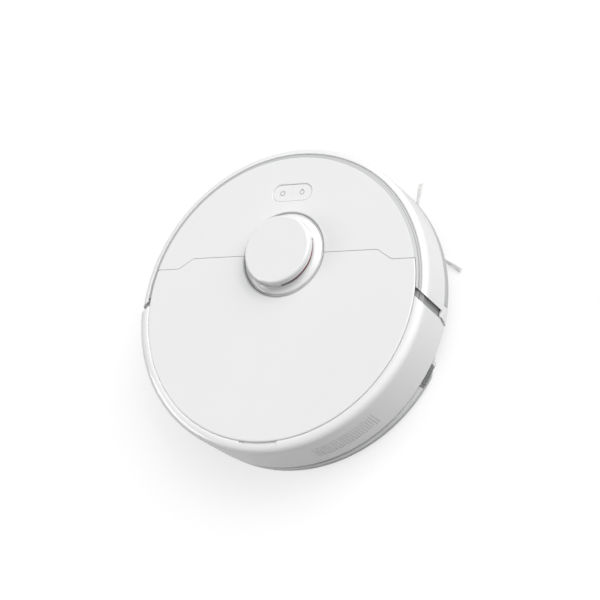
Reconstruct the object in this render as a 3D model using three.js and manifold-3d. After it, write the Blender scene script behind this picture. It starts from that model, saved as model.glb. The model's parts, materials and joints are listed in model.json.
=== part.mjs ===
// A round robot vacuum and mop with a lidar turret, as an assembly of separate pieces.
// Millimetres. +Z is up, the robot drives towards -Y, its left side is +X, and the origin is on
// the floor under the middle of the disc. Every piece is one closed solid in its own mesh.
import * as THREE from "three";
import { mergeVertices } from "three/addons/utils/BufferGeometryUtils.js";
import { ConvexGeometry } from "three/addons/geometries/ConvexGeometry.js";
import Module from "manifold-3d";

const wasm = await Module();
wasm.setup();

// ---- Driving dimensions ----
const DISC_R = 175; // outer radius of the bumper and the rear housing
const DECK_Z = 80; // flat top of the deck and the lid
const PLATE = 2.4; // thickness of the deck and the lid
const DECK_UNDER = DECK_Z - PLATE;
const SKIRT_Z = 21; // lower edge of the bumper and the rear housing
const BASE_Z = 10; // underside of the base plate
const BASE_TOP = 12.6;
const TUB_R = 161.5; // outside of the chassis's inner wall
const TUB_IN = 159.1;
const TUB_TOP = 72;
const RAISED_Z = 21.2; // underside of the raised rear floor, above the mop module
const RAISED_TOP = 23.6;
const STEP_Y = 48; // where the rear floor steps up
const BAND_IN = 163.3; // inner radius of the deck's side bands
const DECK_R = 166;
const LID_R = 162.5;
const SEAM_GAP = 0.5; // half of the seam between deck and lid
const GAP = 0.4; // what touching pieces keep between them
const SLOT_HALF = 4.9; // half of the slot on each side where the bumper meets the housing
const SLOT_SLANT = 0.83; // how far the slot's edges run back for each millimetre outwards
const SLOT_LEAN = 0.036; // and for each millimetre downwards
const STRIP_END_Y = -1; // where the bumper's soft strip ends
const CORNER_TOP = 33.4; // the bumper's lower corners close the foot of the slots up to here
const CORNER_BACK = [
  [12.9, CORNER_TOP],
  [15.5, 25.2],
  [18.9, 19],
];
const FAR = 220; // past every edge of the robot

const SEAM_Y = -48.6; // middle stretch of the seam between deck and lid
const SEAM_SIDE_Y = -37; // its outer stretches
const SEAM_STEP = [113.7, 131.4]; // the slanted step between them, in |x|

const TURRET = [0, -48.6]; // axis of the lidar turret
const TURRET_R = 39.5; // side of the turret
const TURRET_TOP = 96.8;
const SLOT_LOW = 83.5; // the slot that the laser looks through
const SLOT_HIGH = 88.5;
const PILLAR_WIDTH = 11.6; // the three posts that carry the cap over the slot
const DECK_HOLE_R = 47.3;

const PILL = [0, -120.8]; // middle of the button recess
const PILL_HALF = 24;
const PILL_R = 9.75;
const BUTTON_X = 12;

const HINGE = [-56.5, 74.5]; // y and z of the lid hinge
const HINGE_X = 70;

const WHEEL_R = 33;
const WHEEL_X = 112.5;
const WHEEL_HALF = 9;
const ARM_PIVOT = [-48, 40]; // y and z of a drive arm's pivot
const ARM_X = [90, 102];

const CASTER = [0, -130];
const CASTER_R = 14.5;
const CASTER_TRAIL = 8;
const POCKET_R = 26.5;

const ROLLER = [2, 23.2]; // y and z of the main brush
const ROLLER_R = 19;
const ROLLER_HALF = 75.4;

const SIDE_BRUSH = [-116, -85.8];
const SIDE_BRUSH_REACH = 71.2;
const SIDE_BRUSH_ANGLES = [-90, 30, 150];

const FAN = [-88, 84];
const FAN_R = 30;
const FAN_OUTLET_DEG = 30;
const VENT_DEG = [18.3, 42.7]; // from the rear towards the right side
const VENT_Z = [36.5, 60.5];
const VENT_SLITS = 23;
const VENT_SLIT_WIDTH = 1.6;

const FLAP_AXIS = [43.6, 51.6]; // y and z of the pin of the bin's inlet flap
const BIN = { x: [-37, 119], y: [40, 134], z: [26, 72], round: 150 };

const MOP_R = 174.2;
const MOP_Y = 50.2;
const TANK_SIDE_X = 163.4; // the tank and the tray under it are cut off straight at their sides
const TRAY_SIDE_X = 158.4;
const TANK_STEP = [172.4, 15.6]; // radius and height of the tank's step under the housing
const TRAY_RIM = [166.2, 5.2]; // inner radius and lower edge of the rim around the tray
const TANK_LIP = [172.9, 10]; // inner radius and lower edge of the lip that hangs over the tray
const CLIP_NOTCH_Z = 9.2;
const CLIP_DEG = 65.3; // a release clip's place, from the rear

const RIM_SIDES = 60; // facets of the large rings
const ROUND_SIDES = 28;
const TURRET_SIDES = 32;

// ---- Solids ----

// A closed geometry as a solid that can be joined and cut.
function solid(geometry) {
  const bare = geometry.index ? geometry.toNonIndexed() : geometry.clone();
  bare.deleteAttribute("normal");
  bare.deleteAttribute("uv");
  const merged = mergeVertices(bare, 1e-4);
  const corners = [];
  for (let i = 0; i < merged.index.count; i += 3) {
    const [a, b, c] = [0, 1, 2].map((k) => merged.index.getX(i + k));
    if (a !== b && b !== c && c !== a) corners.push(a, b, c);
  }
  const make = (triangles) =>
    new wasm.Manifold(
      new wasm.Mesh({
        numProp: 3,
        vertProperties: new Float32Array(merged.attributes.position.array),
        triVerts: new Uint32Array(triangles),
      }),
    );
  const made = make(corners);
  if (made.volume() >= 0) return made;
  const turnedRound = [];
  for (let i = 0; i < corners.length; i += 3) turnedRound.push(corners[i], corners[i + 2], corners[i + 1]);
  return make(turnedRound);
}

function box([x0, x1], [y0, y1], [z0, z1]) {
  const geometry = new THREE.BoxGeometry(Math.abs(x1 - x0), Math.abs(y1 - y0), Math.abs(z1 - z0));
  geometry.translate((x0 + x1) / 2, (y0 + y1) / 2, (z0 + z1) / 2);
  return solid(geometry);
}

// An upright cylinder.
function drum(radius, [low, high], [x, y] = [0, 0], sides = ROUND_SIDES) {
  const geometry = new THREE.CylinderGeometry(radius, radius, high - low, sides);
  geometry.rotateX(Math.PI / 2);
  geometry.translate(x, y, (low + high) / 2);
  return solid(geometry);
}

// A cylinder along X, with a facet square to the floor when its sides are even.
function rod(radius, [x0, x1], [y, z] = [0, 0], sides = 24) {
  const geometry = new THREE.CylinderGeometry(radius, radius, Math.abs(x1 - x0), sides);
  geometry.rotateY(Math.PI / sides);
  geometry.rotateZ(Math.PI / 2);
  geometry.translate((x0 + x1) / 2, y, z);
  return solid(geometry);
}

// A profile of [radius, height] points turned about Z; it ends on the axis or closes on itself.
function turned(profile, [x, y] = [0, 0], sides = RIM_SIDES) {
  const points = profile.map(([r, z]) => new THREE.Vector2(r, z));
  if (profile[0][0] > 0) points.push(points[0].clone());
  const geometry = new THREE.LatheGeometry(points, sides);
  geometry.rotateX(Math.PI / 2);
  geometry.translate(x, y, 0);
  return solid(geometry);
}

// A plan outline raised from low to high.
function slab(outline, [low, high]) {
  const shape = new THREE.Shape(outline.map(([x, y]) => new THREE.Vector2(x, y)));
  const geometry = new THREE.ExtrudeGeometry(shape, { depth: high - low, bevelEnabled: false });
  geometry.translate(0, 0, low);
  return solid(geometry);
}

// A side outline of [y, z] points carried along X.
function across(outline, [x0, x1]) {
  const shape = new THREE.Shape(outline.map(([y, z]) => new THREE.Vector2(y, z)));
  const geometry = new THREE.ExtrudeGeometry(shape, { depth: Math.abs(x1 - x0), bevelEnabled: false });
  const axes = new THREE.Matrix4().makeBasis(
    new THREE.Vector3(0, 1, 0),
    new THREE.Vector3(0, 0, 1),
    new THREE.Vector3(1, 0, 0),
  );
  geometry.applyMatrix4(axes);
  geometry.translate(Math.min(x0, x1), 0, 0);
  return solid(geometry);
}

// The tightest solid around some points.
function hull(points) {
  return solid(new ConvexGeometry(points.map((p) => new THREE.Vector3(...p))));
}

function join(first, ...others) {
  return others.reduce((whole, other) => whole.add(other), first);
}

function cut(first, ...others) {
  return others.reduce((whole, other) => whole.subtract(other), first);
}

// Unit vector in the plan, at an angle from the rear (+Y) towards the right side (-X).
function fromRear(degrees) {
  const a = THREE.MathUtils.degToRad(degrees);
  return [-Math.sin(a), Math.cos(a)];
}

// A wedge of the disc between two angles from the rear.
function wedge([start, end], [near, far], heights) {
  const at = (degrees, radius) => fromRear(degrees).map((v) => v * radius);
  const steps = Math.max(1, Math.ceil((end - start) / 8));
  const angles = Array.from({ length: steps + 1 }, (_, i) => start + ((end - start) * i) / steps);
  const outer = angles.map((a) => at(a, far));
  const inner = angles.reverse().map((a) => at(a, near));
  return slab([...outer, ...inner], heights);
}

// A box whose middle stands on the disc at an angle from the rear, turned to face outwards.
function radialBox(degrees, width, [near, far], [low, high]) {
  const geometry = new THREE.BoxGeometry(width, far - near, high - low);
  geometry.translate(0, (near + far) / 2, (low + high) / 2);
  geometry.rotateZ(THREE.MathUtils.degToRad(degrees));
  return solid(geometry);
}

function circlePoints([x, y], radius, count = 24) {
  return Array.from({ length: count }, (_, i) => {
    const a = (2 * Math.PI * i) / count;
    return [x + radius * Math.cos(a), y + radius * Math.sin(a)];
  });
}

// The tight band around two circles in the plan.
function twoCircles(centreA, radiusA, centreB, radiusB, heights) {
  const flat = [...circlePoints(centreA, radiusA, 40), ...circlePoints(centreB, radiusB, 16)];
  return hull(heights.flatMap((z) => flat.map(([x, y]) => [x, y, z])));
}

// The same, seen from the side and carried along X.
function linkAcross(centreA, radiusA, centreB, radiusB, spans) {
  const flat = [...circlePoints(centreA, radiusA), ...circlePoints(centreB, radiusB)];
  return hull(spans.flatMap((x) => flat.map(([y, z]) => [x, y, z])));
}

// ---- Meshes ----
const WHITE = 0xececec;
const SOFT_GREY = 0xd3d4d5;
const DARK = 0x3a3c3f;
const BLACK = 0x1d1e20;
const SMOKE = 0x6f7275;
const STEEL = 0xb9bcc0;

function piece(name, made, colour, roughness = 0.45, metalness = 0) {
  const mesh = made.getMesh();
  const positions = new Float32Array(mesh.numVert * 3);
  for (let i = 0; i < mesh.numVert; i++) {
    const start = i * mesh.numProp;
    positions.set(mesh.vertProperties.subarray(start, start + 3), i * 3);
  }
  const geometry = new THREE.BufferGeometry();
  geometry.setAttribute("position", new THREE.BufferAttribute(positions, 3));
  geometry.setIndex(new THREE.BufferAttribute(new Uint32Array(mesh.triVerts), 1));
  geometry.computeVertexNormals();
  const finish = new THREE.MeshStandardMaterial({ color: colour, roughness, metalness, flatShading: true });
  const placed = new THREE.Mesh(geometry, finish);
  placed.name = name;
  return placed;
}

function groupAt([x, y, z], ...members) {
  const group = new THREE.Group();
  group.position.set(x, y, z);
  group.add(...members);
  return group;
}

// Everything behind the seam, moved back by some distance.
function behindSeam(back) {
  const [near, far] = SEAM_STEP;
  const line = [
    [-FAR, SEAM_SIDE_Y],
    [-far, SEAM_SIDE_Y],
    [-near, SEAM_Y],
    [near, SEAM_Y],
    [far, SEAM_SIDE_Y],
    [FAR, SEAM_SIDE_Y],
  ].map(([x, y]) => [x, y + back]);
  return slab([...line, [FAR, FAR], [-FAR, FAR]], [0, 120]);
}

// Everything behind one of the slanted planes that bound the side slots.
function behindSlot(offset) {
  const edge = (x, z) => offset + SLOT_SLANT * (x - BAND_IN) + SLOT_LEAN * (DECK_Z - z);
  const corners = [];
  for (const z of [0, 100]) {
    corners.push([0, edge(0, z), z], [FAR, FAR, z], [-FAR, FAR, z]);
    corners.push([FAR, edge(FAR, z), z], [-FAR, edge(FAR, z), z]);
  }
  return hull(corners);
}

// ---- Chassis ----
function armLugs(side) {
  const hole = [ARM_PIVOT[0], ARM_PIVOT[1]];
  const spans = [
    [87.4, 89.6],
    [104, 106.6],
  ];
  const lugs = spans.map((span) =>
    box([side * span[0], side * span[1]], [hole[0] - 6, hole[0] + 6], [BASE_TOP - 1, hole[1] + 6]),
  );
  return cut(join(...lugs), rod(2.7, [side * 86, side * 108], hole, 16));
}

function chassis() {
  const tub = turned([
    [0, BASE_Z],
    [158, BASE_Z],
    [170.5, 19.6],
    [170.5, 20.6],
    [TUB_R, 20.6],
    [TUB_R, TUB_TOP],
    [TUB_IN, TUB_TOP],
    [TUB_IN, 21.5],
    [155.6, BASE_TOP],
    [0, BASE_TOP],
  ]);
  const raisedFloor = drum(171.6, [RAISED_Z, RAISED_TOP], [0, 0], RIM_SIDES).intersect(
    box([-FAR, FAR], [STEP_Y - 2.4, FAR], [0, 40]),
  );
  const step = drum(165, [BASE_Z, RAISED_TOP], [0, 0], RIM_SIDES).intersect(
    box([-160, 160], [STEP_Y - 2.4, STEP_Y], [0, 40]),
  );
  const pocket = drum(POCKET_R + 2, [BASE_Z, 40], CASTER, ROUND_SIDES);
  const floor = join(cut(tub, box([-FAR, FAR], [STEP_Y, FAR], [0, RAISED_Z])), raisedFloor, step, pocket);
  // The inner wall stands out behind each side slot, and the flange under it is notched there.
  const sidePads = [[76, 100], [-100, -76]].map((span) => wedge(span, [160.6, 166], [20, 73.6]));
  const slotNotches = [[82.5, 94], [-94, -82.5]].map((span) => wedge(span, [166.4, 180], [5, 30]));
  const wells = [-1, 1].map((side) => box([side * 88.5, side * 125], [-40, 42], [5, 14]));
  const contacts = [-1, 1].map((side) => box([side * 35.6, side * 50.4], [-146.4, -137.6], [5, 14]));
  return join(
    cut(
      join(floor, ...sidePads),
      ...slotNotches,
      ...wells,
      ...contacts,
      drum(POCKET_R, [5, 37.6], CASTER),
      drum(4.5, [30, 45], CASTER, 20),
      drum(7, [5, 14], SIDE_BRUSH, 24),
      box([-79, 79], [-18.5, 22.5], [5, 14]),
      box([-72, 72], [-99, -53], [5, 14]),
      wedge([VENT_DEG[0] - 1.5, VENT_DEG[1] + 1.5], [150, 168], VENT_Z),
    ),
    armLugs(-1),
    armLugs(1),
  );
}

// ---- Top deck: one moulding in front of the seam, with a band running back along each side ----
function topDeck() {
  const disc = turned([
    [0, DECK_UNDER],
    [BAND_IN, DECK_UNDER],
    [BAND_IN, 76.6],
    [DECK_R, 76.6],
    [DECK_R, 78.1],
    [164.4, 78.9],
    [161.5, DECK_Z],
    [0, DECK_Z],
  ]);
  const lidSpace = behindSeam(-SEAM_GAP).intersect(drum(BAND_IN, [0, 120], [0, 0], RIM_SIDES));
  const bandEnds = behindSlot(-SLOT_HALF).intersect(box([-FAR, FAR], [-20, FAR], [0, 120]));
  const plate = cut(disc, lidSpace, bandEnds);
  const pill = join(
    box([-PILL_HALF + PILL_R, PILL_HALF - PILL_R], [PILL[1] - PILL_R, PILL[1] + PILL_R], [70, 85]),
    ...[-1, 1].map((side) => drum(PILL_R, [70, 85], [side * (PILL_HALF - PILL_R), PILL[1]], 28)),
  );
  const bosses = [
    [60, -136, 3.5, BASE_TOP + GAP],
    [137, -58, 3.5, BASE_TOP + GAP],
    [40, -109, 3, 62],
    [40, -147, 3, 62],
  ].flatMap(([x, y, radius, foot]) =>
    [-1, 1].map((side) => drum(radius, [foot, DECK_UNDER + 0.5], [side * x, y], 14)),
  );
  const ears = [-1, 1].flatMap((side) =>
    [
      [HINGE_X - 6.6, HINGE_X - 4.2],
      [HINGE_X + 4.2, HINGE_X + 6.6],
    ].map(([a, b]) => box([side * a, side * b], [HINGE[0] - 3, HINGE[0] + 3], [71.4, DECK_UNDER + 0.5])),
  );
  const pinHoles = [-1, 1].map((side) => rod(1.7, [side * 60, side * 80], HINGE, 12));
  return cut(
    join(cut(plate, drum(DECK_HOLE_R, [60, 100], TURRET, TURRET_SIDES), pill), ...bosses, ...ears),
    ...pinHoles,
  );
}

// ---- Lid over the dust bin, on two swan-neck arms that reach under the deck ----
function swanNeck(x) {
  const [y, z] = HINGE;
  const span = [x - 3.6, x + 3.6];
  return cut(
    join(
      rod(2.7, span, HINGE, 16),
      box(span, [y - 1.6, y + 1.6], [z - 13, z]),
      box(span, [y - 1.6, y + 13.6], [z - 13, z - 10.4]),
      box(span, [y + 10.8, y + 13.6], [z - 13, DECK_UNDER + 1.4]),
    ),
    rod(1.7, [x - 5, x + 5], HINGE, 12),
  );
}

function rearLid() {
  const disc = turned([
    [0, DECK_UNDER],
    [160.4, DECK_UNDER],
    [LID_R, 78.3],
    [LID_R, 79.3],
    [160.9, DECK_Z],
    [0, DECK_Z],
  ]);
  const lip = cut(behindSeam(SEAM_GAP), behindSeam(SEAM_GAP + 3)).intersect(
    box([-FAR, FAR], [-FAR, FAR], [70, 78.7]),
  );
  const turretSpace = drum(DECK_HOLE_R + 0.6, [60, 100], TURRET, TURRET_SIDES);
  const plate = cut(disc.intersect(behindSeam(SEAM_GAP)), turretSpace, lip);
  return join(plate, swanNeck(-HINGE_X), swanNeck(HINGE_X));
}

// ---- Rear housing: the outer wall of the rear half, with its rim, vent and finger notch ----
function rearHousing() {
  const ring = turned([
    [172.8, SKIRT_Z + 0.3],
    [DISC_R, SKIRT_Z + 0.3],
    [DISC_R, 72],
    [174.6, 74.6],
    [173.2, 76.8],
    [170.6, 78.6],
    [167, 79.5],
    [164.2, 79.4],
    [163.5, 78.8],
    [163.5, 77.2],
    [158.8, 77.2],
    [158.8, 75.4],
    [166, 75.4],
    [170.4, 73.5],
    [172.8, 70.5],
  ]);
  const lowerCorners = across(
    [
      [0, 34],
      [16.4, 34],
      [19, 25.6],
      [22.4, 20],
      [0, 20],
    ],
    [-FAR, FAR],
  );
  const slits = Array.from({ length: VENT_SLITS }, (_, i) => {
    const degrees = VENT_DEG[0] + ((VENT_DEG[1] - VENT_DEG[0]) * i) / (VENT_SLITS - 1);
    return radialBox(degrees, VENT_SLIT_WIDTH, [168, 180], VENT_Z);
  });
  const notch = box([-23, 23], [155, 165.6], [76.5, 85]);
  return cut(ring.intersect(behindSlot(SLOT_HALF)), lowerCorners, ...slits, notch);
}

// ---- Bumper over the front half ----
function bumper() {
  const wall = turned([
    [172.2, SKIRT_Z],
    [173.3, SKIRT_Z],
    [173.3, 30.7],
    [DISC_R, 30.7],
    [DISC_R, 69.5],
    [174.5, 72.4],
    [173.2, 74.5],
    [171, 75.8],
    [168.4, 76.2],
    [164.6, 76.2],
    [164.6, 74.2],
    [169.4, 74],
    [172.2, 70.5],
  ]);
  const corner = turned([
    [172.2, 19.6],
    [DISC_R, 19.6],
    [DISC_R, CORNER_TOP],
    [172.2, CORNER_TOP],
  ]).intersect(
    across([[STRIP_END_Y + GAP, 19], [STRIP_END_Y + GAP, CORNER_TOP], ...CORNER_BACK], [-FAR, FAR]),
  );
  const window = wedge([165.6, 194.4], [160, 180], [41.6, 58.4]);
  return cut(join(cut(wall, behindSlot(-SLOT_HALF)), corner), window);
}

function bumperStrip() {
  const ring = turned([
    [173.6, SKIRT_Z],
    [DISC_R, SKIRT_Z],
    [DISC_R, 30.3],
    [173.6, 30.3],
  ]);
  return ring.intersect(box([-FAR, FAR], [-FAR, STRIP_END_Y], [0, 60]));
}

function frontWindow() {
  const ring = turned([
    [172.6, 42],
    [174.8, 42],
    [174.8, 58],
    [172.6, 58],
  ]);
  return ring.intersect(wedge([166, 194], [160, 180], [40, 60]));
}

// ---- Buttons ----
function button(side) {
  const edge = 0.35;
  const radius = PILL_R - edge;
  const heights = [77.4, 79.2];
  const half = join(
    box([side * 0.2, side * (PILL_HALF - PILL_R)], [PILL[1] - radius, PILL[1] + radius], heights),
    drum(radius, heights, [side * (PILL_HALF - PILL_R), PILL[1]], 28),
  );
  const keep = box([side * 0.2, side * 40], [PILL[1] - 20, PILL[1] + 20], [60, 90]);
  return join(half.intersect(keep), drum(2.6, [64, 78], [side * BUTTON_X, PILL[1]], 14));
}

function mainBoard() {
  const board = box([-46, 46], [-152, -104], [60, 61.6]).intersect(drum(156, [50, 70], [0, 0], RIM_SIDES));
  const fixed = [
    box([-12, 12], [-148, -132], [61.4, 63]),
    box([22, 34], [-140, -128], [61.4, 62.8]),
    box([-34, -24], [-142, -130], [61.4, 63.4]),
    box([-8, 8], [-112, -106], [57, 60.2]),
  ];
  const switches = [-1, 1].map((side) =>
    box([side * (BUTTON_X - 3), side * (BUTTON_X + 3)], [PILL[1] - 3, PILL[1] + 3], [61.4, 63]),
  );
  return join(board, ...fixed, ...switches);
}

// ---- Lidar turret: a sprung cover around a rotating rangefinder; local to the turret's axis ----
function turretBase() {
  return turned(
    [
      [43.8, 72],
      [46.2, 72],
      [46.4, 79.4],
      [45.2, 80.2],
      [42.6, 81],
      [40.9, 82.2],
      [40, SLOT_LOW],
      [37.2, SLOT_LOW],
      [37.2, 80.6],
      [43.8, 77],
    ],
    [0, 0],
    TURRET_SIDES,
  );
}

function turretCap() {
  const cap = turned(
    [
      [0, 94.6],
      [36.6, 94.6],
      [36.9, SLOT_HIGH],
      [TURRET_R, SLOT_HIGH],
      [TURRET_R - 0.1, 94.4],
      [38.8, 96],
      [37.5, TURRET_TOP],
      [0, TURRET_TOP],
    ],
    [0, 0],
    TURRET_SIDES,
  );
  const ring = cut(
    drum(39.3, [SLOT_LOW + 0.3, SLOT_HIGH + 0.5], [0, 0], TURRET_SIDES),
    drum(37.2, [80, 95], [0, 0], TURRET_SIDES),
  );
  const pillars = [0, 120, 240].map((degrees) =>
    ring.intersect(radialBox(degrees, PILLAR_WIDTH, [30, 45], [80, 92])),
  );
  return join(cap, ...pillars);
}

function turretAccent() {
  return turned(
    [
      [35.2, 82.2],
      [36.8, 82.2],
      [36.8, 84.1],
      [35.2, 84.1],
    ],
    [0, 0],
    TURRET_SIDES,
  );
}

function lidarHead() {
  const body = turned(
    [
      [0, 64.9],
      [12, 64.9],
      [12, 67],
      [36, 67],
      [36, 67.7],
      [35, 68.1],
      [35, 69.9],
      [36, 70.3],
      [36, 71],
      [33.5, 71],
      [33.5, 91],
      [32, 92.4],
      [0, 92.4],
    ],
    [0, 0],
    24,
  );
  return cut(body, box([-15, 15], [-40, -28], [79, 91.2]));
}

function lidarWindow() {
  return box([-14, 14], [-30.2, -28.4], [79.4, 90.8]);
}

const LIDAR_MOTOR = [-30, -46.4]; // from the turret's axis
function lidarBase() {
  const plate = join(
    twoCircles([0, 0], 43, LIDAR_MOTOR, 13, [62, 64.4]),
    box([-79, 79], [-31, -24], [62, 64.4]),
  );
  const legs = [-76, 76].map((x) => drum(2.8, [BASE_TOP + GAP, 63], [x, -27.5], 12));
  const posts = [-26, 26].map((x) => drum(3, [40.6, 63], [x, 30], 12));
  return cut(join(plate, ...legs, ...posts), drum(5, [60, 66], LIDAR_MOTOR, 20));
}

function lidarMotor() {
  return join(drum(9, [52.8, 61.6], LIDAR_MOTOR, 20), drum(1.1, [61, 71.4], LIDAR_MOTOR, 10));
}

function lidarPulley() {
  return cut(drum(6, [66.6, 71], [0, 0], 16), drum(1.6, [60, 80], [0, 0], 10));
}

function lidarBelt() {
  const heights = [68, 70];
  return cut(
    twoCircles([0, 0], 37.5, LIDAR_MOTOR, 7.5, heights),
    twoCircles([0, 0], 36.4, LIDAR_MOTOR, 6.4, [heights[0] - 1, heights[1] + 1]),
  );
}

// ---- Mid frame under the lid, around the dust bin ----
function upperTray() {
  const plate = drum(158.4, [73.2, 75], [0, 0], RIM_SIDES).intersect(behindSeam(1.5));
  const legs = [
    [145, 15, BASE_TOP + GAP],
    [-145, 15, BASE_TOP + GAP],
    [-58, 141, RAISED_TOP + GAP],
    [100, 118, RAISED_TOP + GAP],
  ].map(([x, y, foot]) => drum(3.6, [foot, 74], [x, y], 14));
  const binSpace = box([BIN.x[0] - 2, BIN.x[1] + 2], [BIN.y[0] - 2, BIN.y[1] + 2], [70, 80]).intersect(
    drum(BIN.round + 2, [70, 80], [0, 0], RIM_SIDES),
  );
  const armSpaces = [-1, 1].map((side) =>
    box([side * (HINGE_X - 7), side * (HINGE_X + 7)], [-60, -31], [70, 80]),
  );
  return join(cut(plate, binSpace, drum(50, [70, 80], TURRET, TURRET_SIDES), ...armSpaces), ...legs);
}

// ---- Dust bin with its cover, handle, flap and filter ----
function binBlock(inset, [low, high]) {
  const block = box(
    [BIN.x[0] + inset, BIN.x[1] - inset],
    [BIN.y[0] + inset, BIN.y[1] - inset],
    [low, high],
  );
  return block.intersect(drum(BIN.round - inset, [low - 1, high + 1], [0, 0], RIM_SIDES));
}

function dustBin() {
  return cut(
    binBlock(0, BIN.z),
    binBlock(2, [BIN.z[0] + 2, BIN.z[1] + 5]),
    box([-27, 27], [BIN.y[0] - 5, BIN.y[0] + 5], [34, 49]),
    box([BIN.x[0] - 5, BIN.x[0] + 5], [62, 114], [34, 62]),
  );
}

function binCover() {
  const plate = binBlock(0, [BIN.z[1] + GAP, BIN.z[1] + 2.6]);
  return cut(plate, box([10, 66], [76, 104], [BIN.z[1] + 1.6, BIN.z[1] + 5]));
}

function binHandle() {
  const heights = [74.2, 76.6];
  return cut(box([11, 65], [77, 103], heights), box([16, 60], [82, 98], [70, 80]));
}

function binFlap() {
  return join(
    box([-30, 30], [42.9, 44.3], [31.5, 51.2]),
    rod(1.2, [-30, 30], FLAP_AXIS, 10),
  );
}

function filterFrame() {
  return cut(
    box([-47.6, BIN.x[0] - GAP], [58, 118], [30, 66]),
    box([-46, -30], [60.5, 115.5], [32.5, 63.5]),
    box([-50, -40], [64, 112], [36, 60]),
  );
}

function hepaFilter() {
  const pleats = 12;
  const [start, end] = [61, 115];
  const pitch = (end - start) / pleats;
  const front = [];
  for (let i = 0; i <= pleats; i++) {
    front.push([-45.6, start + i * pitch]);
    if (i < pleats) front.push([-41.4, start + (i + 0.5) * pitch]);
  }
  const back = front.map(([x, y]) => [x + 2.4, y]).reverse();
  return slab([...front, ...back], [33, 63]);
}

// ---- Suction fan, local to its shaft ----
function fanHousing() {
  const heights = [RAISED_TOP + GAP, 56];
  const cup = cut(
    drum(FAN_R, heights, [0, 0], 40),
    drum(FAN_R - 2, [heights[0] + 2, 60], [0, 0], 30),
  );
  // The outlet points at the vent in the rear housing.
  const outlet = cut(
    radialBox(FAN_OUTLET_DEG, 27, [20, 33.2], [36, 55]),
    drum(FAN_R - 1, [20, 60], [0, 0], 30),
  );
  return cut(join(cup, outlet), radialBox(FAN_OUTLET_DEG, 23, [18, 40], [38, 53]));
}

function fanCover() {
  const plate = drum(FAN_R, [56.4, 58.8], [0, 0], 30);
  const hood = box([-16, 39.6], [-14, 14], [56.4, 70]);
  return cut(
    join(plate, hood),
    box([-13.6, 45], [-11.6, 11.6], [58.8, 67.6]),
    drum(11, [50, 60], [0, 0], 28),
  );
}

function fanMotor() {
  return join(drum(13, [26.4, 39.8], [0, 0], 28), drum(1.7, [39, 48], [0, 0], 12));
}

function fanImpeller() {
  const blades = Array.from({ length: 9 }, (_, i) => {
    const turn = (2 * Math.PI * i) / 9;
    const line = [
      [5, 0],
      [14, 4.2],
      [22, 13],
    ];
    const near = line.map(([x, y]) => [x, y - 0.7]);
    const far = line.map(([x, y]) => [x, y + 0.7]).reverse();
    const shape = new THREE.Shape([...near, ...far].map(([x, y]) => new THREE.Vector2(x, y)));
    const geometry = new THREE.ExtrudeGeometry(shape, { depth: 10.4, bevelEnabled: false });
    geometry.rotateZ(turn);
    geometry.translate(0, 0, 42);
    return solid(geometry);
  });
  const hub = join(drum(26.6, [41, 42.6], [0, 0], 36), drum(6.5, [41, 52.4], [0, 0], 20));
  return cut(join(hub, ...blades), drum(2.1, [40, 49], [0, 0], 12));
}

// ---- Battery ----
function batteryPack() {
  const [y0, y1, z0, z1, r] = [-97, -55, 13.4, 52, 8];
  const corners = [
    [y0 + r, z0 + r],
    [y1 - r, z0 + r],
    [y0 + r, z1 - r],
    [y1 - r, z1 - r],
  ];
  const flat = corners.flatMap((centre) => circlePoints(centre, r, 12));
  return hull([-68, 68].flatMap((x) => flat.map(([y, z]) => [x, y, z])));
}

// ---- Drive unit: a sprung arm that carries the motor, hub and tyre ----
function driveArm(side) {
  const span = ARM_X.map((x) => side * x);
  const axle = [0, WHEEL_R];
  const body = join(
    linkAcross(ARM_PIVOT, 7.5, axle, 14, span),
    rod(11, span, [-16, 50], 20),
    rod(4, [side * 101, side * 120.6], axle, 16),
  );
  return cut(
    body,
    box([side * 89, side * 95.8], [-60, -36], [20, 60]),
    rod(2.7, [side * 80, side * 110], ARM_PIVOT, 16),
  );
}

function armPin(side) {
  return rod(2.3, [side * 87.2, side * 106.8], ARM_PIVOT, 16);
}

// A torsion spring around the pivot pin.
class Helix extends THREE.Curve {
  constructor(radius, start, end, turns) {
    super();
    Object.assign(this, { radius, start, end, turns });
  }
  getPoint(t, target = new THREE.Vector3()) {
    const a = 2 * Math.PI * this.turns * t;
    const x = this.start + (this.end - this.start) * t;
    return target.set(x, this.radius * Math.cos(a), this.radius * Math.sin(a));
  }
}

function armSpring(side) {
  const wire = new THREE.Shape(circlePoints([0, 0], 0.6, 5).map(([x, y]) => new THREE.Vector2(x, y)));
  const path = new Helix(4.6, side * 90.6, side * 95, 3);
  const geometry = new THREE.ExtrudeGeometry(wire, { steps: 27, bevelEnabled: false, extrudePath: path });
  geometry.translate(0, ARM_PIVOT[0], ARM_PIVOT[1]);
  return solid(geometry);
}

function wheelHub(side) {
  const face = [side * 5.2, side * 10];
  const body = rod(23.7, [-8, 8], [0, 0], 24);
  const dish = cut(rod(20.6, face, [0, 0], 20), rod(8.4, face, [0, 0], 12));
  const spokes = Array.from({ length: 5 }, (_, i) => {
    const geometry = new THREE.BoxGeometry(2.4, 5, 17);
    geometry.translate(side * 6.2, 0, 14);
    geometry.rotateX((2 * Math.PI * i) / 5);
    return solid(geometry);
  });
  return cut(join(cut(body, dish), ...spokes), rod(4.5, [-20, 20], [0, 0], 16));
}

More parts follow.
